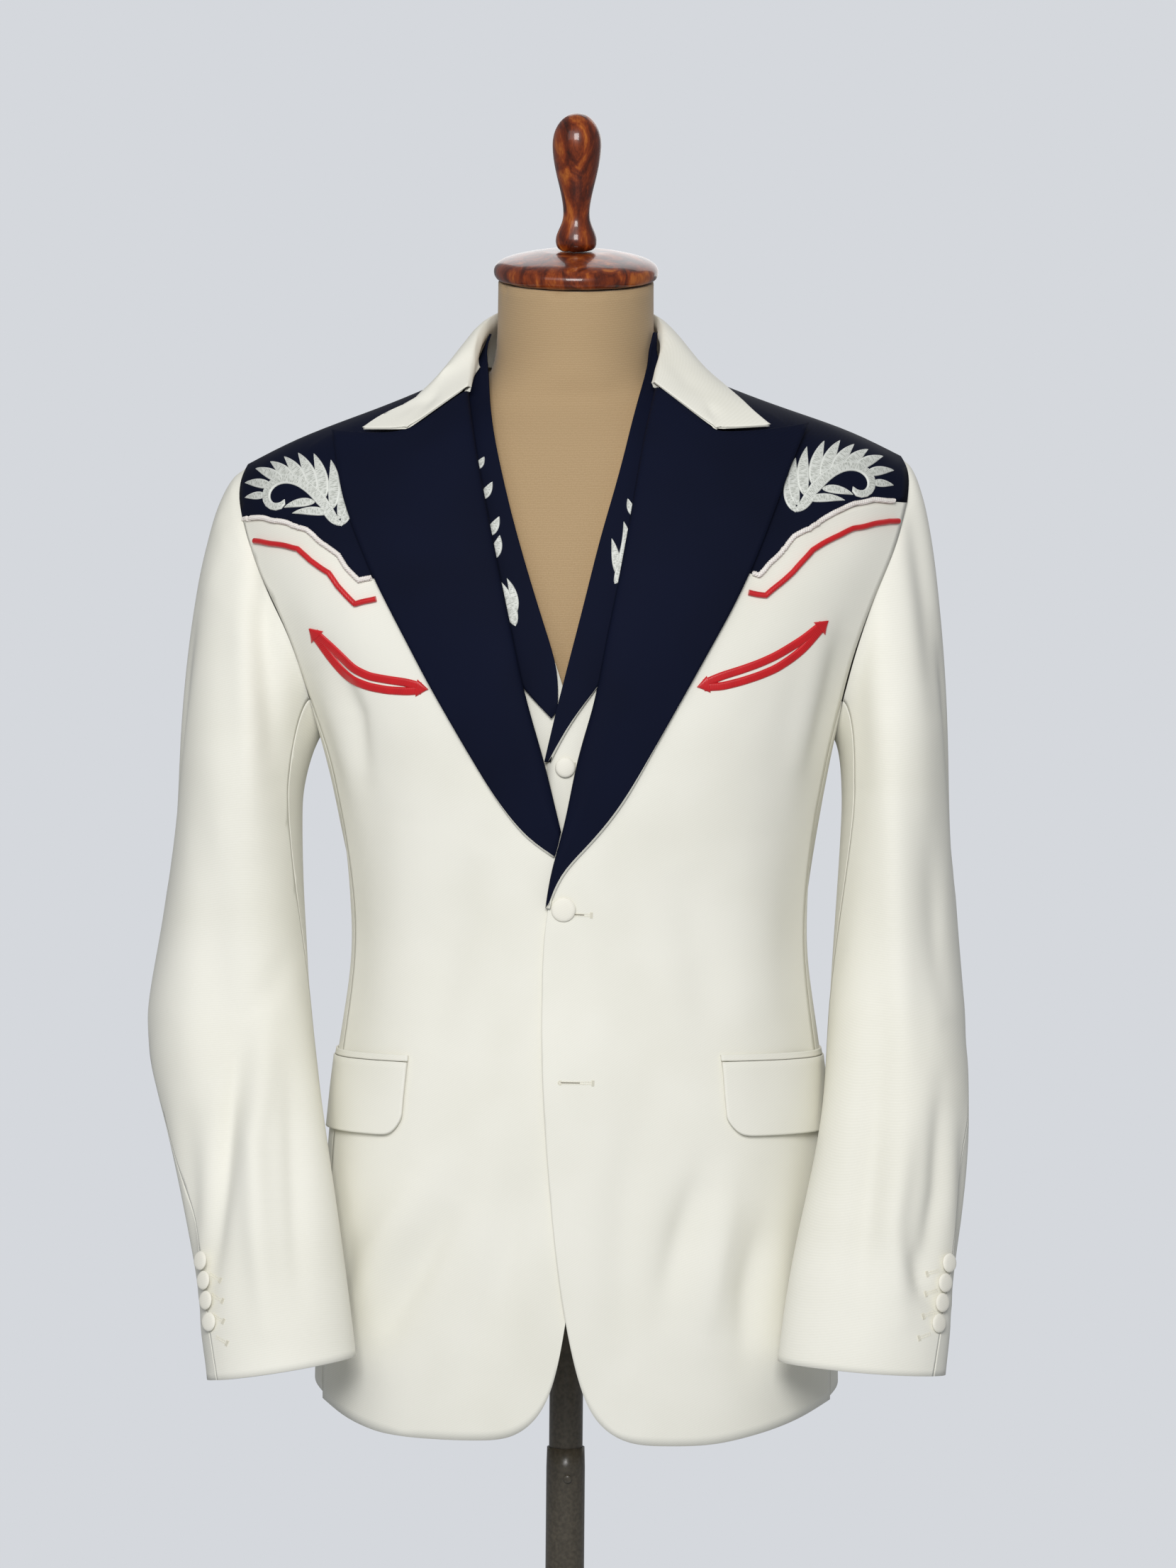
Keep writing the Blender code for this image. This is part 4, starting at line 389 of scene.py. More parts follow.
CREASES["collar"] = [
    (FRONT, 4, 0.9, (-124, 1400), (-110, 1408), (-96, 1412)),
    (FRONT, 4, 0.8, (-112, 1396), (-104, 1406), (-92, 1420)),
    (FRONT, 3.5, 0.9, (98, 1397), (96, 1402), (90, 1408)),
    (FRONT, 6, 0.6, (62, 1446), (78, 1424), (100, 1410)),
]
# The middle line that the folds press towards: height, x and y
MIDDLES = {
    "body": [(600, 0, 0), (1500, 0, 0)],
    "right_sleeve": [
        (759, -190, -119), (838, -203, -92), (930, -223, -45),
        (995, -232, -14), (1131, -231, 0), (1400, -205, 0),
    ],
    "left_sleeve": [
        (763, 197, -123), (838, 208, -104), (930, 223, -62),
        (995, 226, -22), (1131, 226, 0), (1400, 205, 0),
    ],
}
CREASE_SCALE = 2.7
CREASE_ENDS = 0.04
# How far a place has to face a crease's side to take it, and over what share it comes in
FACED_FROM = 0.15
FACED_OVER = 0.35


def pressed(spots, part):
    """Places in millimetres, moved by the creases of that part of the suit."""
    heights, xs, ys = zip(*MIDDLES.get(part, MIDDLES["body"]))
    away = spots[:, :2].copy()
    away[:, 0] -= np.interp(spots[:, 2], heights, xs)
    away[:, 1] -= np.interp(spots[:, 2], heights, ys)
    away /= np.maximum(np.linalg.norm(away, axis=1), 1e-6)[:, None]
    drop = np.zeros(len(spots))
    for side, width, depth, *path in CREASES[part]:
        faced = np.clip((away @ np.array(side, float) - FACED_FROM) / FACED_OVER, 0, 1)
        flat = spots[:, [1, 2]] if side[0] else spots[:, [0, 2]]
        path = np.array(path, float)
        lengths = np.linalg.norm(np.diff(path, axis=0), axis=1)
        nearest = np.full(len(spots), 1e9)
        along = np.zeros(len(spots))
        for i, length in enumerate(lengths):
            step = (path[i + 1] - path[i]) / length
            reach = np.clip((flat - path[i]) @ step, 0, length)
            gap = np.linalg.norm(flat - path[i] - reach[:, None] * step, axis=1)
            closer = gap < nearest
            nearest[closer] = gap[closer]
            along[closer] = (lengths[:i].sum() + reach[closer]) / lengths.sum()
        fade = np.sin(np.pi * np.clip(along, CREASE_ENDS, 1 - CREASE_ENDS)) ** 0.7
        pushed = CREASE_SCALE * depth * faced * faced * (3 - 2 * faced) * fade
        drop += pushed * np.exp(-((nearest / width) ** 2))
    moved = spots.copy()
    moved[:, :2] -= away * drop[:, None]
    return moved


def spots_of(mesh):
    """A mesh's points as rows of x, y and z."""
    spots = np.empty(len(mesh.vertices) * 3)
    mesh.vertices.foreach_get("co", spots)
    return spots.reshape(-1, 3)


def move_to(mesh, spots):
    """Moves a mesh's points to new places."""
    mesh.vertices.foreach_set("co", spots.ravel())
    mesh.update()


def dressed(name, nodes, mesh, material, body="form", mapping=body_map):
    """Puts a finished cloth mesh in the scene in place of its nodes, with cloth millimetres as its UV map."""
    mesh.name = name
    piece = placed(name, mesh)
    if len(mesh.materials) < 2:
        mesh.materials.clear()
        mesh.materials.append(material)
    mesh.shade_smooth()
    mesh.set_sharp_from_angle(angle=SHADED_EDGE)
    uv = mesh.uv_layers.get("cloth_mm") or mesh.uv_layers.new(name="cloth_mm")
    places = [mapping(v.co) for v in mesh.vertices]
    for loop in mesh.loops:
        uv.data[loop.index].uv = places[loop.vertex_index]
    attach(piece, body)
    if nodes:
        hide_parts(*nodes)
    return piece


# Each panel's cloth, the width, length and area that it was cut to in metres, how finely it is divided, what
# it lies on, how it is held, and the part of the suit whose creases it takes
RIGHT_FRONT = "jacket_front_right_cloth"
LEFT_FRONT = "jacket_front_left_cloth"
PANEL_WORDS = "node cloth width length area levels rests_on held part"
Panel = namedtuple("Panel", PANEL_WORDS, defaults=["form_torso", "hung", "body"])
JACKET_PANELS = [
    Panel("jacket_front_right", "cream", 0.27, 0.62, 0.112, 3),
    Panel("jacket_front_left", "cream", 0.28, 0.64, 0.125, 3),
    Panel("jacket_side_right", "cream", 0.10, 0.475, 0.036, 3),
    Panel("jacket_side_left", "cream", 0.10, 0.475, 0.036, 3),
    Panel("jacket_back_right", "cream", 0.25, 0.59, 0.107, 3),
    Panel("jacket_back_left", "cream", 0.25, 0.60, 0.108, 3),
    Panel("yoke_front_right", "navy", 0.21, 0.19, 0.026, 2, held="draped"),
    Panel("yoke_front_left", "navy", 0.22, 0.19, 0.028, 2, held="draped"),
    Panel("yoke_back", "navy", 0.50, 0.22, 0.080, 2, held="draped"),
    Panel("lapel_right", "navy", 0.13, 0.36, 0.025, 2, RIGHT_FRONT, "folded"),
    Panel("lapel_left", "navy", 0.13, 0.40, 0.026, 2, LEFT_FRONT, "folded"),
    Panel("collar", "cream", 0.46, 0.11, 0.035, 3, "yoke_back_cloth", "folded", "collar"),
    Panel("sleeve_upper_right", "cream", 0.21, 0.63, 0.095, 3, part="right_sleeve"),
    Panel("sleeve_under_right", "cream", 0.19, 0.60, 0.087, 3, part="right_sleeve"),
    Panel("sleeve_upper_left", "cream", 0.20, 0.63, 0.092, 3, part="left_sleeve"),
    Panel("sleeve_under_left", "cream", 0.18, 0.60, 0.083, 3, part="left_sleeve"),
    Panel("pocket_flap_right", "cream", 0.138, 0.055, 0.0071, 2, RIGHT_FRONT),
    Panel("pocket_flap_left", "cream", 0.155, 0.056, 0.0083, 2, LEFT_FRONT),
    Panel("pocket_jet_right", "cream", 0.13, 0.010, 0.0007, 2, RIGHT_FRONT, "folded"),
    Panel("pocket_jet_left", "cream", 0.146, 0.010, 0.0008, 2, LEFT_FRONT, "folded"),
]
# The lapels whose cream under-cloth shows: the side that they turn to, and how high up
FACINGS = {
    "lapel_right": (-1, 1165),
    "lapel_left": (1, 1195),
    "waistcoat_lapel_right": (-1, 1190),
    "waistcoat_lapel_left": (1, 1225),
}
ROUNDED_CORNERS = ("pocket_flap_right", "pocket_flap_left")
CLOTHS = {"cream": (CREAM_WOOL, "cream_wool"), "navy": (NAVY_WOOL, "navy_wool")}
made = {}


def cut_and_hang(panel):
    wool, slot = CLOTHS[panel.cloth]
    turn = ROUNDED_TURN if panel.node in ROUNDED_CORNERS else CORNER_TURN
    firmness = 0.9 if panel.held == "folded" or panel.node in ROUNDED_CORNERS else 1.0
    mesh = fine_shell(panel.node, panel.levels, firmness, corner_turn=turn, facing=FACINGS.get(panel.node))
    if panel.part:
        move_to(mesh, pressed(spots_of(mesh) / MM, panel.part) * MM)
    piece = dressed(panel.node + "_cloth", [panel.node], mesh, wool)
    made[panel.node] = piece


for panel in JACKET_PANELS:
    cut_and_hang(panel)

BACK_SEAM_REACH = 0.022
BACK_SEAM_LEFT_OPEN = 0.00006
BACK_HEIGHTS = np.linspace(0.69, 1.27, 30)
BACK_ROW = 0.014


def edge_by_height(spots, side):
    """How far sideways a back panel reaches at each height, towards the middle seam."""
    found = {}
    for height in BACK_HEIGHTS:
        row = spots[np.abs(spots[:, 2] - height) < BACK_ROW, 0] * side
        if len(row):
            found[height] = row.max() * side
    return np.interp(BACK_HEIGHTS, list(found), list(found.values()))


# Both back panels are drawn in to the middle seam, which their solids leave up to three millimetres open
sides = {"jacket_back_right": 1, "jacket_back_left": -1}
spots = {name: spots_of(made[name].data) for name in sides}
edges = {name: edge_by_height(spots[name], side) for name, side in sides.items()}
middle = sum(edges.values()) / 2
for name, side in sides.items():
    heights = spots[name][:, 2]
    edge = np.interp(heights, BACK_HEIGHTS, edges[name])
    pull = np.interp(heights, BACK_HEIGHTS, middle) - side * BACK_SEAM_LEFT_OPEN - edge
    near = np.clip(1 - np.abs(spots[name][:, 0] - edge) / BACK_SEAM_REACH, 0, 1)
    spots[name][:, 0] += pull * near
    move_to(made[name].data, spots[name])


# Waistcoat: two cream fronts and a back of the same wool, buttoned high, with navy lapels sewn on the fronts.
# It hangs on the form's shoulders and lies close to it, so no creases are pressed in.
WAISTCOAT_PANELS = [
    Panel("waistcoat_front_right", "cream", 0.25, 0.57, 0.103, 2, part=None),
    Panel("waistcoat_front_left", "cream", 0.25, 0.57, 0.114, 2, part=None),
    Panel("waistcoat_back", "cream", 0.47, 0.54, 0.212, 2, part=None),
]
for side, length, area in (("right", 0.30, 0.0100), ("left", 0.33, 0.0108)):
    name, front = "waistcoat_lapel_" + side, f"waistcoat_front_{side}_cloth"
    WAISTCOAT_PANELS.append(Panel(name, "navy", 0.05, length, area, 2, front, "folded", None))
for panel in WAISTCOAT_PANELS:
    cut_and_hang(panel)


# Buttons: moulds covered in the jacket's own cloth, each sewn on through a thread shank. The waistcoat has
# five, the jacket's front two and each sleeve four.
BUTTON_WOOL = worsted("button_cover_wool", "#EFECE0", "#E8E4D6", 0.10, 0.08)
for node in [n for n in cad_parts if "button" in n and n != "spring_button"]:
    mould = fine_shell(node, levels=3, smoothing=0)
    dressed(node + "_covered", [node], mould, BUTTON_WOOL, mapping=flat_map)


# Buttonholes: a slit with an eyelet at the button's end, edged with close thread stitches and closed by a bar
# tack at the other. Each lies on the finished cloth, and the part under a button isn't seen.
STITCH_THREAD = 0.42
STITCH_PITCH = 0.75  # A real stitch is about 0.5 mm from the next, so these are drawn coarser
HOLE_HALF_WIDTH = 1.05
EYELET_RADIUS = 1.7
EYELET_STITCHES = 12
BAR_TACK_HALF = 1.9
STITCH_LIFT = 0.14
BAR_LIFT = 0.26
SLIT_RADIUS = 0.26
RAY_START = 0.6
RAY_TRIES = 24
LEAST_FACING = 0.25


def laid_cloth(*nodes):
    """What is laid on: the finished meshes of these panels, to find places on."""
    bm = bmesh.new()
    for node in nodes:
        bm.from_mesh(made[node].data)
    tree = BVHTree.FromBMesh(bm)
    bm.free()
    return tree


def place_on(cloth, x, z, lift, back=False):
    """The place on the cloth at x, z in millimetres as seen from the front or back, lifted off it. Above the
    cloth's edge it is the nearest place under it, and nothing where there is none."""
    side = 1 if back else -1
    for lower in range(RAY_TRIES):
        start = Vector((x * MM, RAY_START * side, (z - lower / 2) * MM))
        spot, normal, _, _ = cloth.ray_cast(start, Vector((0, -side, 0)))
        if spot is not None:
            if normal.y * side < LEAST_FACING:
                normal = Vector((x * MM, LEAST_FACING * side, 0.05)).normalized()
            if lower < 4:
                spot.z = z * MM
            return spot + normal * lift * MM
    return None


def threads(lines, name, sides=6):
    """Round threads as one mesh, by a bevelled curve. A line is its radius in millimetres and its points."""
    curve = bpy.data.curves.new(name, "CURVE")
    curve.dimensions = "3D"
    curve.bevel_depth = MM
    curve.bevel_resolution = sides // 2 - 1
    curve.use_fill_caps = True
    for radius, points in lines:
        spline = curve.splines.new("POLY")
        spline.points.add(len(points) - 1)
        for knot, spot in zip(spline.points, points):
            knot.co = (*spot, 1.0)
            knot.radius = radius
    holder = bpy.data.objects.new(name, curve)
    mesh = bpy.data.meshes.new_from_object(holder)
    bpy.data.objects.remove(holder)
    return mesh


HOLE_THREAD, _ = surface("cream_buttonhole_twist", "#E4E0CF", 0.5, Sheen_Weight=0.3)
SLIT_SHADE, _ = surface("shadow_in_slit", "#6B6455", 0.95)
# A hole: what it lies on, the button's end and the far end as x, z, and whether its slit and its eyelet show
Hole = namedtuple("Hole", "name cloth start end open eyelet", defaults=[False, False])
HOLES = [
    Hole("front_hole_top", "jacket_front_left", (3.0, 1062.6), (13.6, 1062.3), True),
    Hole("front_hole_lower", "jacket_front_left", (-5.4, 950.6), (15.6, 950.4), True, True),
    Hole("waistcoat_hole_top", "waistcoat_front_left", (-5.0, 1162.2), (1.6, 1162.4), True),
]
# The sleeves' holes: where the far end is from the button's end, and the four buttons' ends
SLEEVE_HOLES = {
    "right": ((7, -3), [(-238, 821), (-236, 808), (-235, 795), (-232, 781)]),
    "left": ((-7, -2), [(247, 829), (246, 816), (244, 802), (241, 788)]),
}
for side, (run, starts) in SLEEVE_HOLES.items():
    for i, (x, z) in enumerate(starts):
        end = (x + run[0], z + run[1])
        HOLES.append(Hole(f"sleeve_hole_{side}_{i + 1}", "sleeve_upper_" + side, (x, z), end))


def work_hole(hole):
    """Sews one buttonhole: the stitched edge, the bar tack and the slit between, a dark strand of painted
    shadow.
    """
    cloth = laid_cloth(hole.cloth)
    start, end = Vector(hole.start), Vector(hole.end)
    along = (end - start).normalized()
    across = Vector((-along.y, along.x))
    length = (end - start).length
    count = int(length / STITCH_PITCH)
    stitches = []

    def stitch(foot, ray, reaches, radius=STITCH_THREAD / 2, lift=STITCH_LIFT):
        stitches.append((radius, [place_on(cloth, *(foot + ray * reach), lift) for reach in reaches]))

    for i in range(count + 1):
        middle = start + along * (length * i / count)
        for side in (-1, 1):
            reach = HOLE_HALF_WIDTH + 0.12 * math.sin(2.3 * i + side)
            stitch(middle, across * side, (0.35, 0.7, reach))
    if hole.eyelet:
        for i in range(EYELET_STITCHES):
            turn = math.radians(60 + 240 * i / (EYELET_STITCHES - 1))
            ray = along * math.cos(turn) + across * math.sin(turn)
            stitch(start, ray, (0.7, 1.2, EYELET_RADIUS))
    for i in range(4):
        bar = (-BAR_TACK_HALF, -0.6, 0.6, BAR_TACK_HALF)
        stitch(end + along * 0.5 * i, across, bar, STITCH_THREAD / 2 + 0.03 * (i % 2), BAR_LIFT)
    dressed(hole.name + "_stitches", [], threads(stitches, hole.name), HOLE_THREAD, mapping=flat_map)
    if hole.open:
        line = [place_on(cloth, *(start + along * (length * (0.02 + 0.05 * i))), 0.02) for i in range(13)]
        slit = threads([(SLIT_RADIUS, line)], hole.name + "_slit")
        dressed(hole.name + "_slit", [], slit, SLIT_SHADE, mapping=flat_map)


for hole in HOLES:
    work_hole(hole)


# Yoke cord and piping: a twisted off-white cotton cord along the yokes' edges, and a red satin piping sewn a
# finger's breadth below it. Both are hand laid and so not quite even.
CORD_TWIST = 1.3  # The real cord's yarns are about 0.8 mm apart, so their twist is drawn this coarse
SATIN_RIB = 0.9  # The real satin's threads are far too fine to show, so its ribs are drawn this coarse
RIB_DEPTH = 0.0003
TRIM_WEAR = 0.09


def ribbed(name, colour, shade, roughness, pitch, slant, strength, sheen=0.2):
    """Twisted or satin thread: fine slanting ribs, mirrored on the two halves of the body."""
    material, shader = surface(name, colour, roughness, Sheen_Weight=sheen, Sheen_Roughness=0.3)
    place = add_node(material, "UVMap", settings={"uv_map": "cloth_mm"})
    laid = [("Vector", place, "UV")]
    slanting = {"Rotation": (0, 0, math.radians(slant))}
    turned = add_node(material, "Mapping", slanting, links=laid)
    wave = {"Scale": wave_scale(pitch), "Distortion": 1.0}
    ribs = add_node(material, "TexWave", wave, links=[("Vector", turned, "Vector")])
    wear = add_node(material, "TexNoise", {"Scale": TRIM_WEAR, "Detail": 3.0}, links=laid)
    tone = add_node(material, "Math", {1: 0.6}, MULTIPLY_ADD, [(0, ribs, "Fac"), (2, wear, "Fac")])
    steps = [(0.35, shade), (0.95, colour)]
    return finish(material, shader, (tone, 0), steps, (ribs, "Fac"), strength, RIB_DEPTH)


def mirrored_map(spot):
    """Cloth millimetres from the body's middle and up it, for trims that are mirrored left to right."""
    return abs(spot.x) / MM, spot.z / MM


WHITE_CORD = ribbed("white_cotton_cord", "#F1ECE6", "#D3C9C0", 0.7, CORD_TWIST, 75, 0.5)
RED_SATIN = ribbed("red_satin_piping", "#CE171E", "#AD1018", 0.38, SATIN_RIB, 20, 0.25, sheen=0.25)
# The routes' x and height. The back's is one half, and is mirrored
RIGHT_CORD = [
    (-135, 1287), (-143.2, 1285.1), (-152.4, 1294.8), (-157.2, 1302.1), (-168.5, 1310.6),
    (-179.8, 1319.7), (-193.3, 1324.7), (-210.2, 1329), (-225.3, 1330),
]
LEFT_CORD = [
    (120.5, 1292), (124.5, 1291), (138.1, 1305.4), (147.9, 1317), (162.7, 1325.9),
    (176.2, 1334.9), (189.7, 1341.2), (202.9, 1344.6), (218, 1345),
]
RIGHT_PIPING = [
    (-131.5, 1273), (-145.8, 1269.4), (-157.9, 1281.6), (-164, 1290.5), (-176.9, 1299),
    (-185.8, 1307.4), (-201.9, 1311.1), (-217, 1313.8),
]
LEFT_PIPING = [
    (117.5, 1279), (129.1, 1277.2), (147.6, 1293.5), (160.9, 1309), (175.7, 1317.9),
    (189.2, 1324.5), (214.7, 1331.2), (221.5, 1331.4),
]
BACK_LINE = [
    (222.9, 1330), (213.2, 1329), (197.9, 1323), (177.5, 1312), (158.6, 1297),
    (146.9, 1289), (128.7, 1291), (92.8, 1285), (51.5, 1273), (1, 1262),
]
PIPING_DROP = 15.0
CORD_STRAND = 1.15
CORD_LAY = 3.6
STRAND_SWING = 0.62
STRAND_FLATNESS = 0.8
PIPING_RADIUS = 1.95
HAND_WAVER = 0.22
WAVER_SPREAD = 2.9
ROUTE_STEP = 1.5
CORD_STEP = 0.4
PIPING_STEP = 1.2
# A trim: the cloths it lies on, its route, how far below the route it runs, and whether it is on the back
Trim = namedtuple("Trim", "node cloths route drop back", defaults=[0.0, False])
TRIMS = [
    Trim("cord_white_right", ("yoke_front_right", "jacket_front_right"), RIGHT_CORD),
    Trim("cord_white_left", ("yoke_front_left", "jacket_front_left"), LEFT_CORD),
    Trim("cord_white_back", ("yoke_back", "jacket_back_right", "jacket_back_left"), BACK_LINE, 0.0, True),
    Trim("cord_red_right", ("jacket_front_right",), RIGHT_PIPING),
    Trim("cord_red_left", ("jacket_front_left",), LEFT_PIPING),
    Trim("cord_red_back", ("jacket_back_right", "jacket_back_left"), BACK_LINE, PIPING_DROP, True),
]


def even_steps(route, step):
    """Places along a route no more than a step apart, through its corners."""
    places = [route[0]]
    for a, b in zip(route, route[1:]):
        count = max(1, math.ceil(math.dist(a, b) / step))
        places += [tuple(p + (q - p) * i / count for p, q in zip(a, b)) for i in range(1, count + 1)]
    return places


def resampled(spots, step):
    """The same line through space in even steps."""
    lengths = [0.0]
    for a, b in zip(spots, spots[1:]):
        lengths.append(lengths[-1] + (b - a).length)
    marks = np.linspace(0, lengths[-1], max(2, int(lengths[-1] / step)))
    return [Vector([np.interp(m, lengths, [s[i] for s in spots]) for i in range(3)]) for m in marks]


def sew_trim(trim):
    """Lays one cord or piping along its route: two twisted strands of cotton, or one satin tube."""
    cloth = laid_cloth(*trim.cloths)
    white = "white" in trim.node
    lift = CORD_STRAND * 1.25 if white else PIPING_RADIUS * 0.55
    if trim.back:
        route = [(x, z - trim.drop) for x, z in trim.route]
        route += [(-x, z) for x, z in reversed(route[:-1])]
    else:
        route = trim.route
    line = []
    for x, z in even_steps(route, ROUTE_STEP):
        spot = place_on(cloth, x, z + HAND_WAVER * math.sin(x / WAVER_SPREAD), lift, trim.back)
        line += [spot] if spot else []
    if white:
        line = resampled(line, CORD_STEP * MM)
        strands = ([], [])
        for i, spot in enumerate(line):
            ahead = (line[min(i + 1, len(line) - 1)] - line[max(i - 1, 0)]).normalized()
            out = Vector((spot.x, spot.y * 1.5, 0.0)).normalized()
            out = (out - ahead * out.dot(ahead)).normalized()
            beside = ahead.cross(out)
            turn = math.tau * i * CORD_STEP / CORD_LAY
            for strand, half in zip(strands, (0, math.pi)):
                swing = beside * math.cos(turn + half) + out * math.sin(turn + half) * STRAND_FLATNESS
                strand.append(spot + swing * CORD_STRAND * STRAND_SWING * MM)
        mesh = threads([(CORD_STRAND, strand) for strand in strands], trim.node, sides=8)
    else:
        mesh = threads([(PIPING_RADIUS, resampled(line, PIPING_STEP * MM))], trim.node, sides=12)
    material, slot = (WHITE_CORD, "white_cord") if white else (RED_SATIN, "red_satin")
    dressed(trim.node + "_trim", [trim.node], mesh, material, mapping=mirrored_map)


for trim in TRIMS:
    sew_trim(trim)


# Smile pockets: a curved slit between two narrow red satin welts that stand a little apart in the middle,
# with a satin-stitched arrowhead tack at each end. The rows are x and the upper and lower welt's height.
RIGHT_SMILE = [
    (-174.3, 1253.2, 1246.3), (-163.6, 1243, 1232.5), (-155, 1235, 1222.5), (-147.5, 1227.6, 1216.6),
    (-136.4, 1222.4, 1212.5), (-124, 1220.2, 1210.2), (-110, 1218.2, 1209.4), (-101, 1216.8, 1209),
]
LEFT_SMILE = [
    (168.4, 1261.6, 1254.6), (156.1, 1250.6, 1241), (147.5, 1245, 1234), (137, 1238.6, 1227),
    (125.4, 1233.2, 1222), (113, 1228.6, 1217.8), (100, 1224.4, 1214.4), (88.5, 1220.6, 1212.6),
]
WELT_WIDTH = 5.6
WELT_SPREAD = 1.3
WELT_RISE = 0.9
ARROWHEAD_LENGTH = 8.0
ARROWHEAD_WIDTH = 11.5
STRIP_ACROSS = 8
STRIP_SINK = 0.12
WELT_LIFT = 0.15
WELT_STEPS = 48
WELT_EASING = 6
ARROWHEAD_LIFT = 0.5
ARROWHEAD_STEPS = 8
ARROWHEAD_INSIDE = 0.35


def lay_strip(bm, cloth, spine, halves, rise, base, ways=None):
    """Lays a padded strip on the cloth: a grid bent along a spine, with its own half width at each step."""
    along_layer, across_layer = bm.verts.layers.float["along"], bm.verts.layers.float["across"]
    steps = len(spine) - 1
    if ways is None:
        ways = [(spine[min(i + 1, steps)] - spine[max(i - 1, 0)]).normalized() for i in range(steps + 1)]
    grid = bmesh.ops.create_grid(bm, x_segments=steps, y_segments=STRIP_ACROSS, size=1.0)["verts"]
    raised = bmesh.ops.extrude_face_region(bm, geom=list({f for v in grid for f in v.link_faces}))["geom"]
    tops = {(round(v.co.x, 4), round(v.co.y, 4)): v for v in raised if isinstance(v, bmesh.types.BMVert)}
    length = sum((b - a).length for a, b in zip(spine, spine[1:]))
    for vert in grid:
        t, v = (vert.co.x + 1) / 2, vert.co.y
        step = min(int(round(t * steps)), steps)
        way, half = ways[step], halves[step]
        spot = spine[step] + Vector((-way.y, way.x)) * half * v
        top = tops[(round(vert.co.x, 4), round(v, 4))]
        for own, lift in ((vert, -STRIP_SINK), (top, base + rise(v, half))):
            own[along_layer] = t * length
            own[across_layer] = v
            own.co = place_on(cloth, spot.x, spot.y, lift)


def sewn(name, bm, material, nodes=()):
    """Finishes strips as one piece, with the distance along each and the share across it as its UV map."""
    along, across = bm.verts.layers.float["along"], bm.verts.layers.float["across"]
    places = [(v[along], v[across]) for v in bm.verts]
    bmesh.ops.recalc_face_normals(bm, faces=bm.faces)
    mesh = bpy.data.meshes.new(name)
    bm.to_mesh(mesh)
    bm.free()
    piece = dressed(name, list(nodes), mesh, material, mapping=flat_map)
    uv = mesh.uv_layers["cloth_mm"]
    for loop in mesh.loops:
        uv.data[loop.index].uv = places[loop.vertex_index]
    return piece


def strip_mesh():
    """An empty mesh for strips, with a place for how far along and across each point is."""
    bm = bmesh.new()
    bm.verts.layers.float.new("along")
    bm.verts.layers.float.new("across")
    return bm


def welt_rise(v, _half):
    """A folded welt's section: flat with a soft edge, whatever its width."""
    return WELT_RISE * (1 - abs(v) ** 6)


def make_smile(node, rest, rows):
    """Sews one smile pocket: its two welts and both arrowheads."""
    cloth = laid_cloth(rest)
    bm = strip_mesh()
    half = WELT_WIDTH / 2
    middles = [(x, (upper + lower) / 2) for x, upper, lower in rows]
    for edge, sign in ((1, -1), (2, 1)):
        knots = [Vector((r[0], r[edge] + sign * (half - WELT_SPREAD))) for r in rows]
        for end in (0, -1):
            knots[end].y = (knots[end].y + middles[end][1]) / 2
        xs = np.linspace(knots[0].x, knots[-1].x, WELT_STEPS + 1)
        order = 1 if knots[0].x < knots[-1].x else -1
        zs = np.interp(xs * order, [k.x * order for k in knots], [k.y for k in knots])
        for _ in range(WELT_EASING):
            zs[1:-1] = (zs[:-2] + zs[1:-1] * 2 + zs[2:]) / 4
        spine = [Vector((x, z)) for x, z in zip(xs, zs)]
        lay_strip(bm, cloth, spine, [half] * len(spine), welt_rise, WELT_LIFT)
    for end, other in ((0, 1), (-1, -2)):
        middle = Vector(middles[end])
        way = (middle - Vector(middles[other])).normalized()
        shares = [i / ARROWHEAD_STEPS for i in range(ARROWHEAD_STEPS + 1)]
        spine = [middle + way * ARROWHEAD_LENGTH * (share - ARROWHEAD_INSIDE) for share in shares]
        halves = [max(0.08, ARROWHEAD_WIDTH / 2 * (1 - share)) for share in shares]
        lay_strip(bm, cloth, spine, halves, welt_rise, ARROWHEAD_LIFT)
    piece = sewn(node + "_welts", bm, RED_SATIN, [node])


make_smile("smile_pocket_right", "jacket_front_right", RIGHT_SMILE)
make_smile("smile_pocket_left", "jacket_front_left", LEFT_SMILE)


# Embroidery: raised satin-stitch leaves and scrolls in silver-white thread on the front yokes and on the
# waistcoat's lapels, in a plain leaf spray. Each leaf has a filled field and a paler corded border.
LEAF_STEPS = 32
SCROLL_LATE = 3.2
LEAF_RISE = 0.55
BORDER_AT = 0.78
BORDER_RISE = 0.30
STITCH_ROW = 0.9  # The real rows are about 0.4 mm apart, so they are drawn this coarse
FLECKS_PER_MM = 1.5
STITCH_DEPTH = 0.0003
# The mix node's colour sockets, which share their names with its other ones
MIX_FIELD = 6
MIX_BORDER = 7
MIX_RESULT = 2
LEAF_LIFT = 0.12
LEAF_LAYERS = 3
SCROLL_LIFT = 0.3
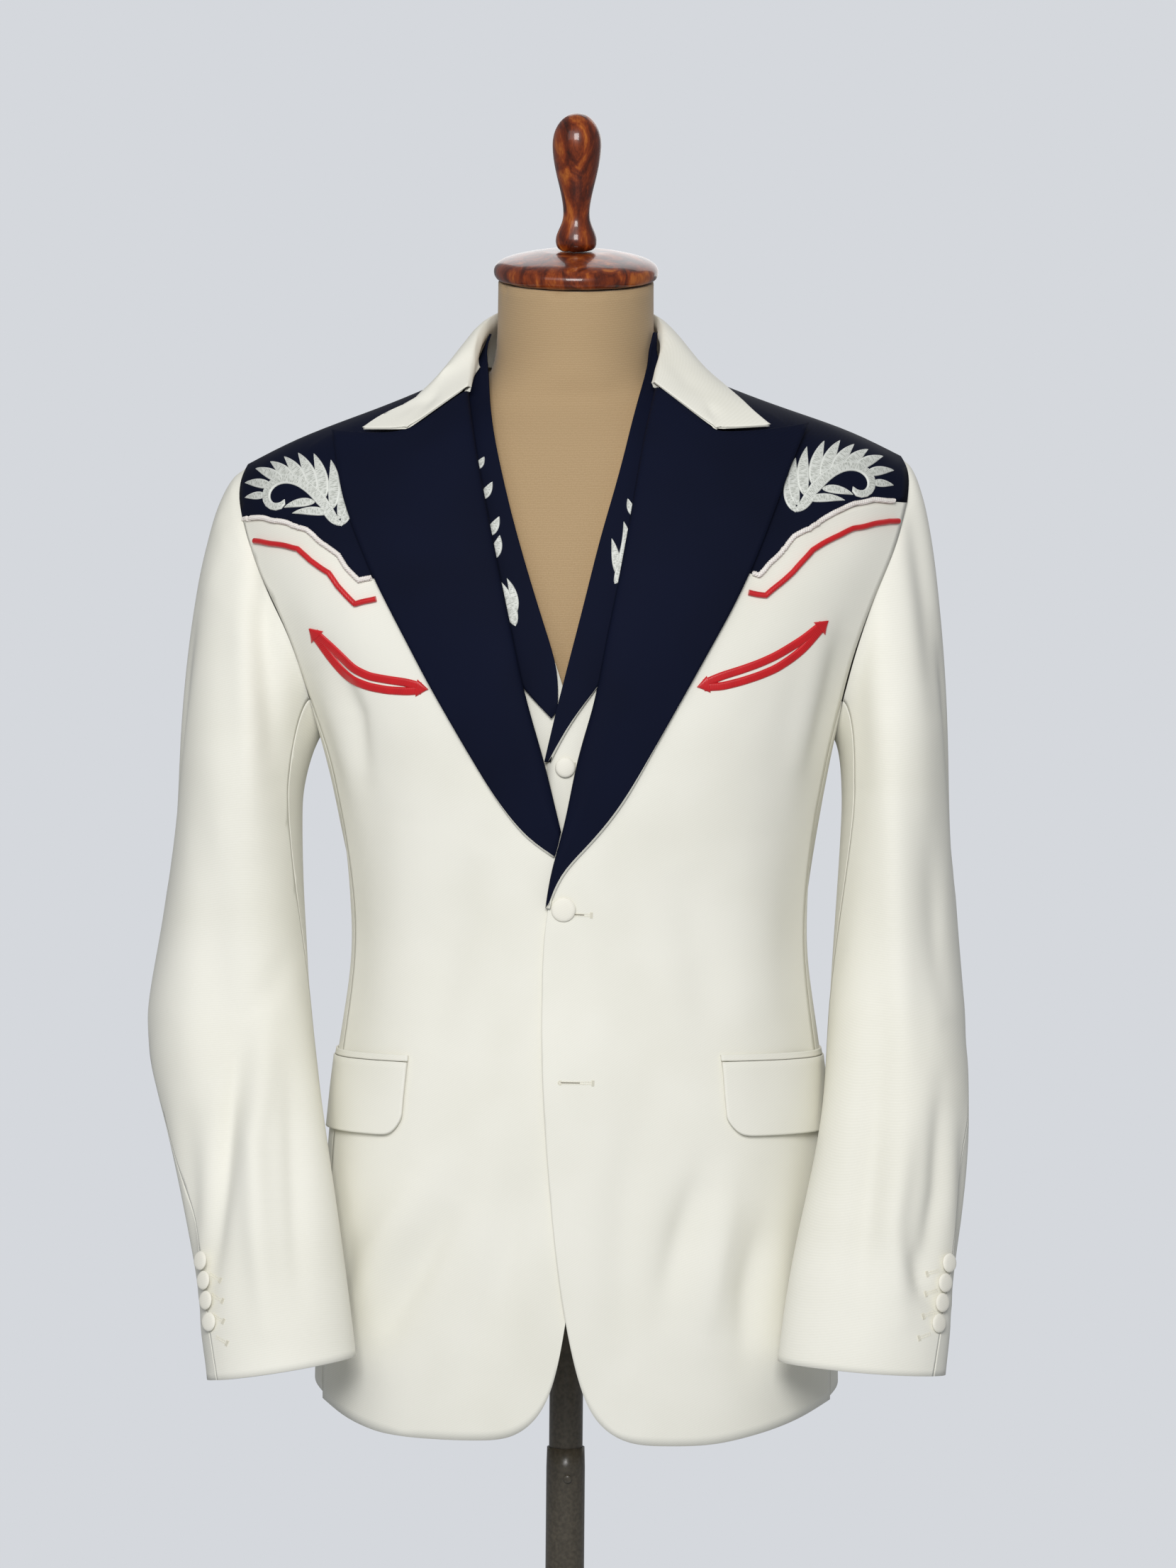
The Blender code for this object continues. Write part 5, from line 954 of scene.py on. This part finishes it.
# A leaf: where it springs from, its heading, length and greatest width, how far it curls in all, and its
# blunter end's share: nothing for a leaf pointed at both ends, more for a scroll with a round head
Leaf = namedtuple("Leaf", "x z heading length width curl head", defaults=[0.0])
YOKE_SPRAY = [
    Leaf(149, 1335, 118, 26, 7, -40), Leaf(151, 1339, 108, 34, 8, -34),
    Leaf(156, 1346, 100, 35, 8.5, -28), Leaf(162, 1353, 88, 34, 8.5, -26),
    Leaf(168, 1358, 76, 32, 8.5, -24), Leaf(175, 1362, 64, 28, 8, -22),
    Leaf(183, 1365, 52, 25, 8, -22), Leaf(191, 1366, 38, 24, 7.5, -22),
    Leaf(199, 1363, 22, 21, 6.5, -22), Leaf(203, 1357, 6, 16, 5.5, -16),
    Leaf(158, 1343, 16, 26, 6, -30), Leaf(168, 1351, 6, 22, 6, -30),
    Leaf(149, 1334, 52, 94, 8.5, -330, 0.40), Leaf(148, 1335, 22, 19, 5, 30),
]
WAISTCOAT_RIGHT_SPRAY = [
    Leaf(-38, 1255, 106, 56, 12, 50), Leaf(-39, 1262, 84, 26, 6, 36),
    Leaf(-54, 1300, 64, 17, 7, 20), Leaf(-57, 1316, 54, 15, 6.5, 15),
    Leaf(-62, 1341, 52, 14, 6, 15), Leaf(-66, 1362, 50, 10, 5, 15),
]
WAISTCOAT_LEFT_SPRAY = [
    Leaf(28, 1284, 58, 44, 9.5, 50), Leaf(29, 1291, 88, 24, 5.5, 20),
    Leaf(41, 1330, 118, 13, 5, -15),
]


def silver_thread():
    """Rayon embroidery thread: glossy silver-white, in slanting stitches, and paler in a leaf's border."""
    sheen = {"Sheen_Weight": 0.35, "Sheen_Roughness": 0.25}
    material, shader = surface("silver_rayon_thread", "#DCDED6", 0.42, **sheen)
    place = add_node(material, "UVMap", settings={"uv_map": "cloth_mm"})
    laid = [("Vector", place, "UV")]
    split = add_node(material, "SeparateXYZ", links=laid)
    side = add_node(material, "Math", {}, {"operation": "ABSOLUTE"}, [(0, split, "Y")])
    stitches = add_node(material, "TexVoronoi", {"Scale": FLECKS_PER_MM}, links=laid)
    wave = {"Scale": wave_scale(STITCH_ROW), "Distortion": 1.5, "Detail Scale": 1.4}
    rows = add_node(material, "TexWave", wave, links=laid)
    # The stitch rows and flecks are the thread's pattern; their grey to near-white tone is painted glint and
    # shade.
    glint = add_node(material, "Math", {1: 0.5}, MULTIPLY_ADD, [(0, rows, "Fac"), (2, stitches, "Distance")])
    steps = [(0.15, "#8F928A"), (0.5, "#B3B6AD"), (0.9, "#DADCD5")]
    field = add_node(material, "ValToRGB", links=[("Fac", glint, 0)], steps=steps)
    steps = [(BORDER_AT - 0.12, "#000000"), (BORDER_AT - 0.04, "#FFFFFF")]
    border = add_node(material, "ValToRGB", links=[("Fac", side, 0)], steps=steps)
    sources = [("Factor", border, "Color"), (MIX_FIELD, field, "Color")]
    mixed = add_node(material, "Mix", {MIX_BORDER: srgb("#DFE1DA")}, {"data_type": "RGBA"}, sources)
    material.node_tree.links.new(mixed.outputs[MIX_RESULT], shader.inputs["Base Color"])
    relief = {"Strength": 0.5, "Distance": STITCH_DEPTH}
    bump = add_node(material, "Bump", relief, links=[("Height", glint, 0)])
    material.node_tree.links.new(bump.outputs["Normal"], shader.inputs["Normal"])
    return material


SILVER_THREAD = silver_thread()


def leaf_rise(v, half):
    """A leaf's section: padded, with its corded border a little higher."""
    padding = LEAF_RISE * min(half / 2.2, 1.0) * (1 - abs(v) ** 4)
    return padding + BORDER_RISE * math.exp(-(((abs(v) - BORDER_AT) / 0.14) ** 2)) * min(half / 1.2, 1.0)


def sew_leaf(bm, cloth, leaf, base):
    """Adds one leaf or scroll to the embroidery, bent along its curl."""
    spine, ways, halves = [Vector((leaf.x, leaf.z))], [], []
    for i in range(LEAF_STEPS + 1):
        t = i / LEAF_STEPS
        turn = math.radians(leaf.heading + leaf.curl * t ** (SCROLL_LATE if leaf.head else 1.0))
        ways.append(Vector((math.cos(turn), math.sin(turn))))
        spine.append(spine[-1] + ways[-1] * leaf.length / LEAF_STEPS)
        body = max(0.0, math.sin(math.pi * t**0.75)) ** 0.8
        if leaf.head:
            body = min(t / 0.25, 1.0) ** 0.7 * (1 - leaf.head * t) * min((1 - t) / 0.06, 1.0) ** 0.5
        halves.append(max(leaf.width / 2 * body, 0.06))
    lay_strip(bm, cloth, spine[:-1], halves, leaf_rise, base, ways)


def embroider(name, node, spray, side=1, move=(0, 0)):
    """Sews one spray of leaves on a cloth as its own piece."""
    cloth = laid_cloth(node)
    bm = strip_mesh()
    for i, leaf in enumerate(spray):
        if side < 0:
            leaf = leaf._replace(x=-leaf.x, heading=180 - leaf.heading, curl=-leaf.curl)
        leaf = leaf._replace(x=leaf.x + move[0], z=leaf.z + move[1])
        sew_leaf(bm, cloth, leaf, LEAF_LIFT * (1 + i % LEAF_LAYERS) + (SCROLL_LIFT if leaf.head else 0))
    return sewn(name, bm, SILVER_THREAD)


embroider("yoke_embroidery_left", "yoke_front_left", YOKE_SPRAY)
embroider("yoke_embroidery_right", "yoke_front_right", YOKE_SPRAY, side=-1, move=(-7, -12))
embroider("waistcoat_embroidery_right", "waistcoat_lapel_right", WAISTCOAT_RIGHT_SPRAY)
embroider("waistcoat_embroidery_left", "waistcoat_lapel_left", WAISTCOAT_LEFT_SPRAY)


# Form: a hard padded torso under a linen jersey that is stretched tight over it. It is smooth, with only its
# fine knit showing at the neck and in the opening of the waistcoat.
KNIT_PITCH = 1.2  # The real knit is about 0.8 mm and too fine to show, so it is drawn this coarse
KNIT_DEPTH = 0.0002


def linen_jersey():
    """Undyed linen jersey, stretched tight: matt, with a fine knit and faint darker slubs."""
    material, shader = surface("stretched_linen_jersey", "#A98F6D", 0.88, Sheen_Weight=0.15)
    place = add_node(material, "UVMap", settings={"uv_map": "cloth_mm"})
    laid = [("Vector", place, "UV")]
    knit = add_node(material, "TexNoise", {"Scale": 1 / KNIT_PITCH}, links=laid)
    wave = {"Scale": wave_scale(KNIT_PITCH), "Distortion": 2.0}
    rows = add_node(material, "TexWave", wave, {"bands_direction": "Y"}, laid)
    tone = add_node(material, "Math", {1: 0.4}, MULTIPLY_ADD, [(0, rows, "Fac"), (2, knit, "Fac")])
    steps = [(0.3, "#A0865F"), (0.95, "#B39874")]
    return finish(material, shader, (tone, 0), steps, (tone, 0), 0.15, KNIT_DEPTH)


padding = fine_shell("form_torso", smoothing=2)
cover = dressed("form_torso_cover", ["form_torso"], padding, linen_jersey())


# Neck cap and finial: turned mahogany, stained dark red and French polished to a deep gloss. The cap stands
# on the form's neck, and the finial on the cap.
FIGURE_SIZE = 14.0
PORE_PITCH = 1.1


def polished_mahogany():
    """Turned mahogany: soft dark streaks and lighter red-brown figure under a hard clear polish."""
    polish = {"Coat_Weight": 0.45, "Coat_Roughness": 0.05, "Specular_IOR_Level": 0.25}
    material, shader = surface("polished_mahogany", "#54200F", 0.32, **polish)
    place = add_node(material, "TexCoord")
    drawn = {"Scale": (1.0, 1.0, 0.3), "Rotation": (0.25, 0.35, 0)}
    stretched = add_node(material, "Mapping", drawn, links=[("Vector", place, "Object")])
    streaks = {"Scale": 1 / (FIGURE_SIZE * MM), "Detail": 3.0, "Distortion": 1.6}
    figure = add_node(material, "TexNoise", streaks, links=[("Vector", stretched, "Vector")])
    specks = {"Scale": 1 / (PORE_PITCH * MM), "Detail": 3.0}
    pores = add_node(material, "TexNoise", specks, links=[("Vector", stretched, "Vector")])
    tone = add_node(material, "Math", {1: 0.22}, MULTIPLY_ADD, [(0, pores, "Fac"), (2, figure, "Fac")])
    steps = [(0.38, "#2A0D04"), (0.54, "#581F08"), (0.68, "#7F350F"), (0.84, "#AD5F22")]
    return finish(material, shader, (tone, 0), steps)


MAHOGANY = polished_mahogany()
for node in ("neck_cap", "finial"):
    dressed(node + "_wood", [node], fine_shell(node, levels=3, smoothing=0), MAHOGANY)


# Stand: steel tubes and a base plate, powder coated in gloss black. The inner tube carries the form and
# slides in the outer one, which has the spring button that catches it.
COAT_PITCH = 2.5  # The real ripple is about 1 mm and too fine to show, so it is drawn this coarse
COAT_DEPTH = 0.0002


def powder_coat():
    """Powder-coated steel: gloss black with the soft orange-peel ripple of baked powder."""
    material, shader = surface("black_powder_coat", "#4A453A", 0.3)
    place = add_node(material, "TexCoord")
    ripple = {"Scale": 1 / (COAT_PITCH * MM), "Detail": 1.0}
    peel = add_node(material, "TexNoise", ripple, links=[("Vector", place, "Object")])
    steps = [(0.3, "#423D34"), (0.7, "#524C41")]
    return finish(material, shader, (peel, "Fac"), steps, (peel, "Fac"), 0.2, COAT_DEPTH)


BLACK_STEEL = powder_coat()
for node in ("inner_pole", "outer_pole", "spring_button", "base_plate"):
    body = "form" if node == "inner_pole" else "stand"
    dressed(node + "_steel", [node], fine_shell(node, smoothing=0), BLACK_STEEL, body)
